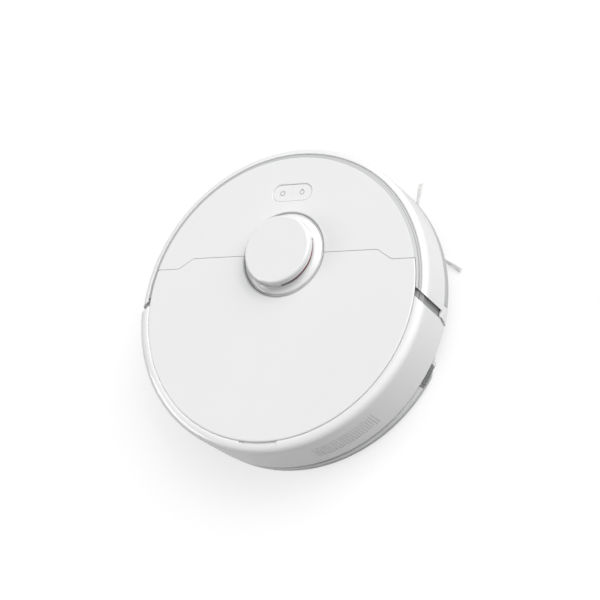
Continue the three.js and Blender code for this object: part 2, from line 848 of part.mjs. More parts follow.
// A tyre with lugs across its tread; one lug stands flat on the floor.
function tyre(radius, inner, half, lugs) {
  const pitch = (2 * Math.PI) / lugs;
  const lugHalf = pitch * 0.26;
  const outline = Array.from({ length: lugs }, (_, i) => {
    const mid = -Math.PI / 2 + i * pitch;
    const top = radius / Math.cos(lugHalf);
    const low = radius - 1.8;
    return [
      [top, mid - lugHalf],
      [top, mid + lugHalf],
      [low, mid + lugHalf * 1.25],
      [low, mid + pitch - lugHalf * 1.25],
    ].map(([r, a]) => [r * Math.cos(a), r * Math.sin(a)]);
  }).flat();
  return cut(across(outline, [-half, half]), rod(inner, [-half - 5, half + 5], [0, 0], 24));
}

function driveUnit(side, word) {
  const wheel = groupAt(
    [side * WHEEL_X, 0, WHEEL_R],
    piece(word + "_wheel_hub", wheelHub(side), SOFT_GREY, 0.5),
    piece(word + "_tyre", tyre(WHEEL_R, 24.2, WHEEL_HALF, 18), BLACK, 0.85),
  );
  const unit = new THREE.Group();
  unit.add(
    piece(word + "_drive_arm", driveArm(side), DARK, 0.55),
    piece(word + "_arm_pin", armPin(side), STEEL, 0.3, 1),
    piece(word + "_arm_spring", armSpring(side), STEEL, 0.35, 1),
    wheel,
  );
  return unit;
}

// ---- Caster, local to its swivel axis ----
function casterFork() {
  const crown = join(drum(20, [30.4, 33.6], [0, 0], 30), drum(4, [33, 44], [0, 0], 18));
  const cheeks = [-1, 1].map((side) =>
    box([side * 8.6, side * 11.2], [CASTER_TRAIL - 6, CASTER_TRAIL + 5], [10, 31]),
  );
  const hole = rod(2.3, [-20, 20], [CASTER_TRAIL, CASTER_R], 12);
  return cut(join(crown, ...cheeks), hole);
}

function casterWheel() {
  const radius = CASTER_R / Math.cos(Math.PI / 20);
  return cut(
    join(rod(radius, [-6, 6], [0, 0], 20), rod(radius * 0.8, [-8, 8], [0, 0], 20)),
    rod(2.3, [-20, 20], [0, 0], 12),
  );
}

// ---- Main brush, its housing, motor and guard ----
function brushHousing() {
  const outer = join(
    rod(24.4, [-84, 84], ROLLER, 28),
    box([-84, 84], [ROLLER[0] - 24.4, ROLLER[0] + 24.4], [BASE_TOP + GAP, ROLLER[1]]),
    box([-29, 29], [14, BIN.y[0] - GAP], [31, 51]),
  );
  return cut(
    outer,
    rod(20.6, [-80.5, 80.5], ROLLER, 28),
    box([-80.5, 80.5], [ROLLER[0] - 20.4, ROLLER[0] + 20.4], [5, ROLLER[1]]),
    box([-27, 27], [10, FAR], [33, 49]),
    box([-FAR, FAR], [-FAR, FAR], [-5, BASE_TOP + GAP]),
    rod(6.4, [75, 90], ROLLER, 20),
  );
}

// A core with five twisted fins, local to its axis.
function mainBrush() {
  const fins = 5;
  const steps = 8;
  const twist = THREE.MathUtils.degToRad(72);
  const profile = Array.from({ length: fins }, (_, i) => {
    const mid = (2 * Math.PI * i) / fins;
    return [
      [7, mid - 0.5],
      [ROLLER_R * 0.97, mid - 0.05],
      [ROLLER_R, mid],
      [ROLLER_R * 0.97, mid + 0.05],
      [7, mid + 0.5],
    ].map(([r, a]) => new THREE.Vector2(r * Math.cos(a), r * Math.sin(a)));
  }).flat();
  const geometry = new THREE.ExtrudeGeometry(new THREE.Shape(profile), {
    depth: 2 * ROLLER_HALF,
    steps,
    bevelEnabled: false,
  });
  const place = geometry.attributes.position;
  for (let i = 0; i < place.count; i++) {
    // The fins run one way to the middle and back again, as a chevron.
    const along = Math.abs(place.getZ(i) / ROLLER_HALF - 1);
    const a = twist * along;
    const [x, y] = [place.getX(i), place.getY(i)];
    place.setXYZ(
      i,
      place.getZ(i) - ROLLER_HALF,
      x * Math.cos(a) - y * Math.sin(a),
      x * Math.sin(a) + y * Math.cos(a),
    );
  }
  return join(
    solid(geometry),
    rod(3, [-80, -70], [0, 0], 12),
    box([70, 79.6], [-3, 3], [-3, 3]),
    rod(5.8, [79.2, 83.8], [0, 0], 16),
  );
}

// The motor lies beside the housing, with a flat gear case on its end.
function brushMotor() {
  const gearCase = across(
    [
      [-50, 14],
      [ROLLER[0] + 10, 14],
      [ROLLER[0] + 10, 34],
      [-26, 44],
      [-50, 44],
    ],
    [83.9, 87],
  ).intersect(box([80, 90], [-60, -23.2], [0, 60]));
  return join(rod(10.6, [44, 84], [-38.6, 28], 22), gearCase);
}

function brushGuard() {
  const frame = cut(
    box([-86, 86], [-27, 31], [7, 9.6]),
    box([-77, 77], [-14.6, 18.6], [0, 20]),
  );
  const arc = cut(
    rod(21.6, [-78, 78], ROLLER, 26),
    rod(19.7, [-90, 90], ROLLER, 26),
  ).intersect(box([-90, 90], [-16.4, 20.4], [0, 9.6]));
  const bars = [-60, -36, -12, 12, 36, 60].map((x) =>
    arc.intersect(box([x - 1.2, x + 1.2], [-40, 40], [0, 20])),
  );
  return join(frame, ...bars);
}

// ---- Side brush, local to its axis ----
function sideBrush() {
  const arm = (degrees) => {
    const section = (r, half, low, high) => [
      [r, -half, low],
      [r, half, low],
      [r, -half, high],
      [r, half, high],
    ];
    const turn = THREE.MathUtils.degToRad(degrees);
    const turnedPoints = (points) =>
      points.map(([x, y, z]) => [
        x * Math.cos(turn) - y * Math.sin(turn),
        x * Math.sin(turn) + y * Math.cos(turn),
        z,
      ]);
    const rubber = hull(turnedPoints([...section(5, 4.2, 5.4, 9.2), ...section(29, 3, 4.4, 7.2)]));
    const tuft = hull(
      turnedPoints([...section(26, 2.2, 4.8, 6.8), ...section(SIDE_BRUSH_REACH - 0.2, 4.6, 0.9, 2.1)]),
    );
    return join(rubber, tuft);
  };
  return join(
    drum(11, [4.6, 9.6], [0, 0], 24),
    drum(3.6, [9, 18], [0, 0], 14),
    ...SIDE_BRUSH_ANGLES.map(arm),
  );
}

// The gear case stands over the brush, and its motor lies towards the middle of the disc.
function sideBrushMotor() {
  const inwards = Math.atan2(-SIDE_BRUSH[0], -SIDE_BRUSH[1]);
  const lying = (geometry, [y, z]) => {
    geometry.translate(0, y, z);
    geometry.rotateZ(-inwards);
    return solid(geometry);
  };
  const gearCase = join(
    drum(11, [BASE_TOP + GAP, 20], [0, 0], 16),
    drum(13.8, [19.5, 30], [0, 0], 20),
    lying(new THREE.BoxGeometry(20, 30, 16), [14, 22]),
    lying(new THREE.CylinderGeometry(8.5, 8.5, 26, 16), [15, 34]),
  );
  return cut(gearCase, drum(4.2, [0, 18.6], [0, 0], 14));
}

// ---- Mop module under the rear ----
function clipNotches() {
  return [-CLIP_DEG, CLIP_DEG].map((degrees) => radialBox(degrees, 27, [166.4, 190], [CLIP_NOTCH_Z, 40]));
}

function waterTank() {
  const [low, high] = [13.1, RAISED_Z - 0.5];
  const [stepR, stepZ] = TANK_STEP;
  const [lipIn, lipZ] = TANK_LIP;
  const disc = turned([
    [0, low],
    [lipIn, low],
    [lipIn, lipZ],
    [MOP_R, lipZ],
    [MOP_R, stepZ],
    [stepR, stepZ],
    [stepR, high],
    [0, high],
  ]);
  const body = disc.intersect(box([-TANK_SIDE_X, TANK_SIDE_X], [MOP_Y, FAR], [0, 40]));
  const cavity = drum(stepR - 2.2, [low + 1.6, high - 1.6], [0, 0], RIM_SIDES).intersect(
    box([-140, 140], [MOP_Y + 2.4, FAR], [0, 40]),
  );
  return cut(body, cavity, drum(7, [high - 3, 30], [-60, 130], 20), ...clipNotches());
}

function mopPlate() {
  const [rimIn, rimZ] = TRAY_RIM;
  const [lipIn, lipZ] = TANK_LIP;
  const disc = turned([
    [0, 8],
    [rimIn, 8],
    [rimIn, rimZ],
    [MOP_R, rimZ],
    [MOP_R, lipZ - GAP],
    [lipIn - GAP, lipZ - GAP],
    [lipIn - GAP, 12.7],
    [0, 12.7],
  ]);
  return cut(disc.intersect(box([-TRAY_SIDE_X, TRAY_SIDE_X], [MOP_Y + 1.6, FAR], [0, 40])), ...clipNotches());
}

function mopPad() {
  return drum(163, [0, 7.6], [0, 0], 72).intersect(box([-148, 148], [72, FAR], [-1, 20]));
}

// A release clip, local to the middle of the disc and facing the rear.
function mopClip() {
  return join(
    box([-13, 13], [169.4, 173], [10, 19.6]),
    box([-9, 9], [172, 174.2], [12, 17.6]),
  );
}

function chargeContact(side) {
  return join(
    box([side * 36, side * 50], [-146, -138], [9.5, 13.2]),
    box([side * 41, side * 45], [-144, -140], [12.8, 17]),
  );
}

// ---- Assembly ----
const robot = new THREE.Group();

const shell = new THREE.Group();
shell.add(
  piece("chassis", chassis(), DARK, 0.6),
  piece("top_deck", topDeck(), WHITE, 0.4),
  piece("rear_housing", rearHousing(), WHITE, 0.35),
  piece("rear_lid", rearLid(), WHITE, 0.4),
  piece("left_lid_pin", rod(1.3, [HINGE_X - 6.8, HINGE_X + 6.8], HINGE, 12), STEEL, 0.3, 1),
  piece("right_lid_pin", rod(1.3, [-HINGE_X - 6.8, -HINGE_X + 6.8], HINGE, 12), STEEL, 0.3, 1),
  piece("upper_tray", upperTray(), SOFT_GREY, 0.5),
  piece("bumper", bumper(), WHITE, 0.3),
  piece("bumper_strip", bumperStrip(), SOFT_GREY, 0.7),
  piece("front_window", frontWindow(), BLACK, 0.1),
  piece("power_button", button(1), WHITE, 0.4),
  piece("dock_button", button(-1), WHITE, 0.4),
  piece("main_board", mainBoard(), 0x1f5a3c, 0.5),
);

const turret = groupAt(
  [...TURRET, 0],
  piece("turret_base", turretBase(), WHITE, 0.35),
  piece("turret_cap", turretCap(), WHITE, 0.4),
  piece("turret_accent", turretAccent(), 0x8e1f24, 0.4),
  piece("lidar_base", lidarBase(), DARK, 0.55),
  piece("lidar_head", lidarHead(), BLACK, 0.5),
  piece("lidar_window", lidarWindow(), 0x2a0d10, 0.1),
  piece("lidar_motor", lidarMotor(), STEEL, 0.35, 1),
  groupAt([...LIDAR_MOTOR, 0], piece("lidar_pulley", lidarPulley(), SOFT_GREY, 0.5)),
  piece("lidar_belt", lidarBelt(), BLACK, 0.8),
);

const dustPath = new THREE.Group();
dustPath.add(
  piece("dust_bin", dustBin(), SMOKE, 0.2),
  piece("bin_cover", binCover(), DARK, 0.4),
  piece("bin_handle", binHandle(), SOFT_GREY, 0.45),
  piece("bin_flap", binFlap(), BLACK, 0.8),
  piece("filter_frame", filterFrame(), DARK, 0.5),
  piece("hepa_filter", hepaFilter(), 0xf2f0ea, 0.9),
);

const fan = groupAt(
  [...FAN, 0],
  piece("fan_housing", fanHousing(), DARK, 0.5),
  piece("fan_cover", fanCover(), DARK, 0.5),
  piece("fan_motor", fanMotor(), STEEL, 0.35, 1),
  piece("fan_impeller", fanImpeller(), SOFT_GREY, 0.4),
);

const power = new THREE.Group();
power.add(
  piece("battery_pack", batteryPack(), 0x2b4f7f, 0.5),
  piece("battery_cover", box([-71.6, 71.6], [-98.6, -53.4], [BASE_Z, BASE_TOP]), DARK, 0.6),
  piece("left_charge_contact", chargeContact(1), 0xc9b27a, 0.25, 1),
  piece("right_charge_contact", chargeContact(-1), 0xc9b27a, 0.25, 1),
);

const caster = groupAt(
  [...CASTER, 0],
  piece("caster_fork", casterFork(), DARK, 0.5),
  groupAt([0, CASTER_TRAIL, CASTER_R], piece("caster_wheel", casterWheel(), SOFT_GREY, 0.5)),
  piece("caster_axle", rod(1.9, [-11.6, 11.6], [CASTER_TRAIL, CASTER_R], 12), STEEL, 0.3, 1),
);

const brushes = new THREE.Group();
brushes.add(
  piece("brush_housing", brushHousing(), DARK, 0.55),
  groupAt([0, ...ROLLER], piece("main_brush", mainBrush(), 0x4a4d52, 0.8)),
  piece("brush_motor", brushMotor(), DARK, 0.5),
  piece("brush_guard", brushGuard(), BLACK, 0.5),
  groupAt(
    [...SIDE_BRUSH, 0],
    piece("side_brush", sideBrush(), 0xe4e4e2, 0.7),
    piece("side_brush_motor", sideBrushMotor(), DARK, 0.5),
  ),
);

const mop = new THREE.Group();
mop.add(
  piece("water_tank", waterTank(), SMOKE, 0.15),
  piece("mop_plate", mopPlate(), SMOKE, 0.4),
  piece("mop_pad", mopPad(), 0x8d9499, 0.95),
);
for (const [word, degrees] of [
  ["left", -CLIP_DEG],
  ["right", CLIP_DEG],
]) {
  const clip = piece(word + "_mop_clip", mopClip(), DARK, 0.5);
  clip.rotation.z = THREE.MathUtils.degToRad(degrees);
  mop.add(clip);
}

robot.add(shell, turret, dustPath, fan, power, driveUnit(1, "left"), driveUnit(-1, "right"));
robot.add(caster, brushes, mop);

export default robot;
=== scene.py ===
# The looks of a round robot vacuum and mop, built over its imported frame.
# Sizes here are millimetres and become metres as each mesh is made. +Z is up, the robot drives
# towards -Y, and its left side is +X.
import json
import math
import random

import bmesh
import bpy
from mathutils import Matrix, Vector

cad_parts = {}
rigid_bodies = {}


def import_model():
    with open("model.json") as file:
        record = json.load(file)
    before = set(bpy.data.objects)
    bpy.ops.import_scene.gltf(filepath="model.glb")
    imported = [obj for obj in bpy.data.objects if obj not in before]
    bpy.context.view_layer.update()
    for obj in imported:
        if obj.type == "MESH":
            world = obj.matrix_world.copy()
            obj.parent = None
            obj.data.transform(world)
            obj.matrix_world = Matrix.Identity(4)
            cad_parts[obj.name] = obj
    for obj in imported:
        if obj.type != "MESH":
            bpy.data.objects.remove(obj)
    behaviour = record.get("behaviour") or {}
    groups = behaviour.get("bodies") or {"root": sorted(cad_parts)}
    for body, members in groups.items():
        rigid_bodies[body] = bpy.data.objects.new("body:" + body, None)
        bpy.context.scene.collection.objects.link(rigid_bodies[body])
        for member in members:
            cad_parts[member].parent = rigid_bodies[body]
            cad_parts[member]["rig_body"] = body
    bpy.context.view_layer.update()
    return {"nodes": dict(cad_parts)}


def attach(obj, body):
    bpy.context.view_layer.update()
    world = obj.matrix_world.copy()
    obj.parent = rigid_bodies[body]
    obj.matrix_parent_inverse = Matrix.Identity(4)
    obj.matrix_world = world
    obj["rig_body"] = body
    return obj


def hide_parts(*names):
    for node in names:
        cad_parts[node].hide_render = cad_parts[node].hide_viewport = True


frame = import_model()
NODES = frame["nodes"]
MM = 0.001

# ---- Driving dimensions, the same as the frame's ----
DISC_R = 175.0
DECK_Z = 80.0
DECK_UNDER = 77.6
SKIRT_Z = 21.0
FAR = 220.0
SHADE_EDGE_R = 162.3  # outside it, the deck's edge is painted a little greyer, as painted shade
DEEP_SHADE_EDGE_R = 165.2
DECK_POSTS = ((60, -136, 3.5, 13), (137, -58, 3.5, 13), (40, -109, 3, 62), (40, -147, 3, 62))
CHANNEL_R = 168.2  # the bumper's rim inside it lies in a shallow channel, painted grey as painted shade
CHANNEL_Z = 74.9
SEAM_Y = -48.6
SEAM_SIDE_Y = -37.0
SEAM_STEP = (113.7, 131.4)
SEAM_HALF = 0.3
SLOT_HALF = 4.9
SLOT_X = 163.3  # where the slot's middle meets the line y = 0 at the deck's height
SLOT_SLANT = 0.83
SLOT_LEAN = 0.036
STRIP_END_Y = -1.0
CORNER_TOP = 33.4
CORNER_BACK = ((12.9, CORNER_TOP, 0.6), (15.5, 25.2, 12), (18.9, 19))
TURRET = (0.0, -48.6)
TURRET_R = 39.5
TURRET_SIDES = 192
TURRET_TOP = 96.8
SLOT_LOW = 83.5
SLOT_HIGH = 88.5
DECK_HOLE_R = 47.3
LIP_WIDE = 3.0
LIP_DEEP = 2.3
LIP_DARK = 1.5  # how far out from the hole's edge its lip is darkest
PILL_Y = -120.8
PILL_HALF = 24.0
PILL_R = 9.75
BUTTON_X = 12.0
HINGE = (-56.5, 74.5)
HINGE_X = 70.0
WHEEL_X = 112.5
WHEEL_R = 33.0
WHEEL_HALF = 9.0
CASTER = (0.0, -122.0, 14.5)
ROLLER = (2.0, 23.2)
ROLLER_HALF = 75.4
SIDE_BRUSH = (-116.0, -85.8)
SIDE_BRUSH_REACH = 71.0
SIDE_BRUSH_ANGLES = (-90, 30, 150)
VENT_DEG = (18.3, 42.7)
VENT_Z = (36.5, 60.5)
VENT_SLITS = 23
VENT_SLIT_WIDTH = 1.6
MOP_R = 174.2
MOP_Y = 50.2
TANK_SIDE_X = 163.4
TRAY_SIDE_X = 158.4
TANK_STEP = (172.4, 15.6)
TRAY_RIM = (166.2, 5.2)
TANK_LIP = (172.9, 10.0)
CLIP_NOTCH_Z = 9.2
CLIP_DEG = 65.3
PAD_R = 163.0
PAD_Y = 72.0
PAD_MIDDLE_Y = 112.0
PAD_HALF = 148.0
TANK_PLUG = (-60, 130)

RIM_SIDES = 288
ROUND_SIDES = 96


# ---- Mesh kit ----
def mesh_object(name, points, faces):
    """A mesh from points in millimetres, with doubled points merged and its faces turned out."""
    mesh = bpy.data.meshes.new(name)
    mesh.from_pydata([tuple(c * MM for c in p) for p in points], [], faces)
    shape = bmesh.new()
    shape.from_mesh(mesh)
    bmesh.ops.remove_doubles(shape, verts=shape.verts, dist=1e-7)
    bmesh.ops.recalc_face_normals(shape, faces=shape.faces)
    shape.to_mesh(mesh)
    shape.free()
    made = bpy.data.objects.new(name, mesh)
    bpy.context.scene.collection.objects.link(made)
    return made


def prism(flat, lift, name="prism"):
    """Two copies of a flat outline, lift[0] and lift[1] of each point, with a wall between."""
    count = len(flat)
    points = [lift[0](p) for p in flat] + [lift[1](p) for p in flat]
    walls = [(i, (i + 1) % count, count + (i + 1) % count, count + i) for i in range(count)]
    return mesh_object(name, points, [*walls, tuple(range(count)), tuple(range(count, 2 * count))])


def slab(outline, low, high):
    return prism(outline, (lambda p: (*p, low), lambda p: (*p, high)), "slab")


def across(outline, x0, x1):
    """An outline of (y, z) points carried along X."""
    return prism(outline, (lambda p: (x0, *p), lambda p: (x1, *p)), "across")


def box(xs, ys, zs):
    return slab([(xs[0], ys[0]), (xs[1], ys[0]), (xs[1], ys[1]), (xs[0], ys[1])], *zs)


def circle(centre, radius, count=ROUND_SIDES):
    turns = [2 * math.pi * i / count for i in range(count)]
    return [(centre[0] + radius * math.cos(a), centre[1] + radius * math.sin(a)) for a in turns]


def drum(radius, low, high, centre=(0, 0), count=ROUND_SIDES):
    return slab(circle(centre, radius, count), low, high)


def rod(radius, x0, x1, centre=(0, 0), count=ROUND_SIDES):
    return across(circle(centre, radius, count), x0, x1)


def rounded(points, steps=5, closed=True):
    """A polyline whose corners are arcs; a point's third number is its corner's radius."""
    made = []
    count = len(points)
    for i, point in enumerate(points):
        here = Vector(point[:2])
        radius = point[2] if len(point) > 2 else 0
        if not radius or (not closed and i in (0, count - 1)):
            made.append(tuple(here))
            continue
        before = Vector(points[i - 1][:2]) - here
        after = Vector(points[(i + 1) % count][:2]) - here
        half = before.angle(after) / 2
        reach = min(radius / math.tan(half), 0.48 * before.length, 0.48 * after.length)
        start = here + before.normalized() * reach
        end = here + after.normalized() * reach
        middle = here + (before.normalized() + after.normalized()).normalized() * reach / math.cos(half)
        first, last = start - middle, end - middle
        turn = first.angle(last)
        for k in range(steps + 1):
            share = k / steps
            along = first * math.sin((1 - share) * turn) + last * math.sin(share * turn)
            made.append(tuple(middle + along / math.sin(turn)))
    return made


def curved(before, start, end, after, t):
    """A Catmull-Rom curve, at share t of the way from start to end."""
    bend = 2 * before - 5 * start + 4 * end - after
    swing = 3 * start - before - 3 * end + after
    return 0.5 * (2 * start + (end - before) * t + bend * t**2 + swing * t**3)


def smooth_run(points, steps=4):
    """A curve through every point."""
    padded = [points[0], *points, points[-1]]
    made = []
    for four in zip(padded, padded[1:], padded[2:], padded[3:]):
        for k in range(steps):
            made.append(tuple(curved(*values, k / steps) for values in zip(*four)))
    return [*made, tuple(points[-1])]


def turned(profile, centre=(0, 0), sides=RIM_SIDES):
    """A profile of (radius, height) points turned about Z."""
    rings, points, faces = [], [], []
    for radius, z in profile:
        if radius < 1e-6:
            rings.append([len(points)] * sides)
            points.append((centre[0], centre[1], z))
            continue
        rings.append([len(points) + i for i in range(sides)])
        points.extend((x, y, z) for x, y in circle(centre, radius, sides))
    pairs = list(zip(rings, rings[1:]))
    if profile[0][0] > 1e-6:
        pairs.append((rings[-1], rings[0]))
    for lower, upper in pairs:
        for i in range(sides):
            k = (i + 1) % sides
            corners = list(dict.fromkeys((lower[i], lower[k], upper[k], upper[i])))
            if len(corners) > 2:
                faces.append(tuple(corners))
    return mesh_object("turned", points, faces)


def wedge(start, end, near, far, low, high):
    """A part of a ring, between two angles from the rear towards the right side."""
    steps = max(2, int(abs(end - start) / 2))
    turns = [math.radians(start + (end - start) * i / steps) for i in range(steps + 1)]
    outer = [(-far * math.sin(a), far * math.cos(a)) for a in turns]
    inner = [(-near * math.sin(a), near * math.cos(a)) for a in reversed(turns)]
    return slab(outer + inner, low, high)


def radial_box(degrees, width, near, far, low, high):
    made = box((-width / 2, width / 2), (near, far), (low, high))
    made.data.transform(Matrix.Rotation(math.radians(degrees), 4, "Z"))
    return made


def merge(first, *others):
    """Several meshes as one object, with no cutting."""
    shape = bmesh.new()
    for o in (first, *others):
        shape.from_mesh(o.data)
    shape.to_mesh(first.data)
    shape.free()
    for o in others:
        bpy.data.objects.remove(o)
    return first


def combine(how, first, *others):
    for other in others:
        step = first.modifiers.new(how, "BOOLEAN")
        step.operation = how
        step.solver = "MANIFOLD"
        step.object = other
        solved = bpy.data.meshes.new_from_object(first.evaluated_get(bpy.context.evaluated_depsgraph_get()))
        first.modifiers.clear()
        first.data = solved
        bpy.data.objects.remove(other)
    return first


def cut(first, *others):
    return combine("DIFFERENCE", first, *others)


def join(first, *others):
    return combine("UNION", first, *others)


def common(first, *others):
    return combine("INTERSECT", first, *others)


def moved(o, x=0.0, y=0.0, z=0.0):
    o.data.transform(Matrix.Translation((x * MM, y * MM, z * MM)))
    return o


def turned_by(o, degrees, axis="Z"):
    o.data.transform(Matrix.Rotation(math.radians(degrees), 4, axis))
    return o


def skin(start, rings, sides, capped=True):
    """The faces over rings of points that follow one another, with an end cap or a closing band."""
    rows = [[start + ring * sides + k for k in range(sides)] for ring in range(rings)]
    faces = [tuple(rows[0]), tuple(rows[-1])] if capped else []
    for one, other in zip(rows, rows[1:] if capped else rows[1:] + rows[:1]):
        for k in range(sides):
            n = (k + 1) % sides
            faces.append((one[k], one[n], other[n], other[k]))
    return faces


def tube(path, radii, sides=6):
    """A round strand along a path of points, with a radius at each."""
    points = []
    for i, at in enumerate(path):
        here = Vector(at)
        ahead = Vector(path[min(i + 1, len(path) - 1)]) - Vector(path[max(i - 1, 0)])
        steep = abs(ahead.normalized().z) >= 0.9
        side = ahead.cross(Vector((1, 0, 0)) if steep else Vector((0, 0, 1))).normalized()
        up = side.cross(ahead).normalized()
        for k in range(sides):
            a = 2 * math.pi * k / sides
            points.append(tuple(here + (side * math.cos(a) + up * math.sin(a)) * radii[i]))
    return points, skin(0, len(path), sides)


def strands(name, tubes):
    """Many strands as one mesh."""
    points, faces = [], []
    for strand_points, strand_faces in tubes:
        start = len(points)
        points.extend(strand_points)
        faces.extend(tuple(start + i for i in face) for face in strand_faces)
    return mesh_object(name, points, faces)


def from_axis(face):
    """How far a face's middle is from the robot's own axis."""
    return face.center.xy.length / MM


def soften(o, angle=32):
    """Smooth shading with creases at sharp edges, and flat faces kept flat."""
    o.data.shade_smooth()
    o.data.set_sharp_from_angle(angle=math.radians(angle))
    normals = o.modifiers.new("normals", "WEIGHTED_NORMAL")
    normals.keep_sharp = True
    return o


def dress(o, name, material, *stands_for, body=None, slot=None, angle=32):
    """Names a finished piece, gives it its material, and puts it on its body."""
    o.name = name
    o.data.name = name
    o.data.materials.clear()
    o.data.materials.append(material)
    soften(o, angle)
    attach(o, body or NODES[stands_for[0]]["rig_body"])
    if stands_for:
        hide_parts(*stands_for)
    return o


# ---- Materials ----
class Look:
    """A Principled material with its nodes, in object space."""

    def __init__(self, name):
        self.material = bpy.data.materials.new(name)
        self.material.use_nodes = True
        self.tree = self.material.node_tree
        self.shader = next(n for n in self.tree.nodes if n.type == "BSDF_PRINCIPLED")
        self.place = self.node("ShaderNodeTexCoord").outputs["Object"]
        self.normal = None

    def node(self, kind, **settings):
        made = self.tree.nodes.new(kind)
        for key, value in settings.items():
            setattr(made, key, value)
        return made

    def link(self, source, target):
        self.tree.links.new(source, target)

    def stretched(self, scale):
        mapping = self.node("ShaderNodeMapping")
        mapping.inputs["Scale"].default_value = scale
        self.link(self.place, mapping.inputs["Vector"])
        return mapping.outputs["Vector"]

    def noise(self, scale, detail=2.0, where=None, rough=0.5):
        made = self.node("ShaderNodeTexNoise")
        made.inputs["Scale"].default_value = scale
        made.inputs["Detail"].default_value = detail
        made.inputs["Roughness"].default_value = rough
        self.link(where or self.place, made.inputs["Vector"])
        return made.outputs["Fac"]

    def cells(self, scale, where=None, feature="F1"):
        made = self.node("ShaderNodeTexVoronoi", feature=feature)
        made.inputs["Scale"].default_value = scale
        self.link(where or self.place, made.inputs["Vector"])
        return made.outputs["Distance"]

    def ranged(self, value, low, high, start=0.3, end=0.7):
        made = self.node("ShaderNodeMapRange")
        made.inputs["From Min"].default_value = start
        made.inputs["From Max"].default_value = end
        made.inputs["To Min"].default_value = low
        made.inputs["To Max"].default_value = high
        self.link(value, made.inputs["Value"])
        return made.outputs["Result"]

    def mix(self, share, first, second):
        made = self.node("ShaderNodeMix", data_type="RGBA")
        self.link(share, made.inputs["Factor"])
        for socket, value in ((made.inputs["A"], first), (made.inputs["B"], second)):
            if isinstance(value, tuple):
                socket.default_value = (*value, 1.0)
            else:
                self.link(value, socket)
        return made.outputs["Result"]

    def edge(self, radius):
        """Rounds every hard edge a little where light meets it."""
        made = self.node("ShaderNodeBevel", samples=3)
        made.inputs["Radius"].default_value = radius * MM
        self.normal = made.outputs["Normal"]

    def bump(self, height, depth, strength=1.0):
        made = self.node("ShaderNodeBump")
        made.inputs["Distance"].default_value = depth * MM
        made.inputs["Strength"].default_value = strength
        self.link(height, made.inputs["Height"])
        if self.normal:
            self.link(self.normal, made.inputs["Normal"])
        self.normal = made.outputs["Normal"]

    def set(self, **values):
        names = {
            "rough": "Roughness",
            "metal": "Metallic",
            "coat": "Coat Weight",
            "coat_rough": "Coat Roughness",
            "sheen": "Sheen Weight",
            "sheen_rough": "Sheen Roughness",
            "clear": "Transmission Weight",
            "ior": "IOR",
            "shine": "Specular IOR Level",
        }
        for key, value in values.items():
            self.shader.inputs[names[key]].default_value = value

    def done(self, colour, roughness):
        if isinstance(colour, tuple):
            self.shader.inputs["Base Color"].default_value = (*colour, 1.0)
        else:
            self.link(colour, self.shader.inputs["Base Color"])
        if isinstance(roughness, float):
            self.shader.inputs["Roughness"].default_value = roughness
        else:
            self.link(roughness, self.shader.inputs["Roughness"])
        if self.normal:
            self.link(self.normal, self.shader.inputs["Normal"])
        return self.material


def shaded(colour, by):
    return tuple(min(1.0, c * by) for c in colour)


def plastic(name, colour, rough, grain=0.012, grain_scale=1700, spread=0.02, edge=0.3, **extra):
    """Moulded plastic: a fine spark-eroded grain, slight mottling and softened edges."""
    look = Look(name)
    if edge:
        look.edge(edge)
    if grain:
        look.bump(look.noise(grain_scale, 3.0), grain)
    look.bump(look.noise(22, 1.0), 0.02, 0.35)
    mottle = look.noise(9, 4.0)
    tone = look.mix(look.ranged(mottle, 0.0, 1.0), shaded(colour, 1 - spread), shaded(colour, 1 + spread))
    look.set(**extra)
    return look.done(tone, look.ranged(look.noise(60, 3.0), rough * 0.9, rough * 1.1))


def metal(name, colour, rough, along=(1, 1, 1)):
    """Drawn or turned steel, with fine streaks along one direction."""
    look = Look(name)
    look.edge(0.15)
    streaks = look.noise(900, 2.0, look.stretched(along))
    look.bump(streaks, 0.004)
    tone = look.mix(look.ranged(streaks, 0.0, 1.0), shaded(colour, 0.86), shaded(colour, 1.08))
    look.set(metal=1.0)
    return look.done(tone, look.ranged(look.noise(120, 3.0), rough * 0.75, rough * 1.25))


def soft_rubber(name, colour, rough=0.62, dust=(0.12, 0.115, 0.11)):
    """Moulded rubber: matt, with a bloom of fine dust in its low places."""
    look = Look(name)
    look.edge(0.25)
    look.bump(look.noise(1300, 4.0), 0.02)
    bloom = look.ranged(look.noise(45, 5.0), 0.0, 0.22)
    tone = look.mix(bloom, colour, dust)
    return look.done(tone, look.ranged(look.noise(80, 3.0), rough * 0.85, rough * 1.1))


def smoked(name, tint, rough, clear):
    """Tinted see-through plastic with faint flow lines."""
    look = Look(name)
    look.edge(0.4)
    look.bump(look.noise(35, 2.0, look.stretched((1, 1, 4))), 0.03, 0.5)
    look.set(clear=clear, ior=1.49, coat=0.25)
    tone = look.mix(look.ranged(look.noise(14, 3.0), 0.0, 1.0), shaded(tint, 0.93), shaded(tint, 1.07))
    return look.done(tone, look.ranged(look.noise(50, 2.0), rough * 0.8, rough * 1.2))


def cloth(name):
    """Looped microfibre in ribs, with a darker thread now and then."""
    look = Look(name)
    loops = look.cells(620)
    wave = look.node("ShaderNodeTexWave", wave_type="BANDS", bands_direction="X")
    wave.inputs["Scale"].default_value = 26.0
    wave.inputs["Distortion"].default_value = 0.35
    look.link(look.place, wave.inputs["Vector"])
    look.bump(wave.outputs["Fac"], 0.35, 0.8)
    look.bump(loops, 0.5, 0.9)
    rib = look.ranged(wave.outputs["Fac"], 0.0, 1.0, 0.2, 0.8)
    base = look.mix(rib, (0.20, 0.225, 0.25), (0.40, 0.43, 0.46))
    spots = look.ranged(look.noise(900, 3.0), 0.0, 0.55, 0.45, 0.75)
    fleck = look.mix(spots, base, (0.62, 0.64, 0.66))
    look.set(sheen=0.5, sheen_rough=0.6, shine=0.2)
    return look.done(fleck, 0.93)


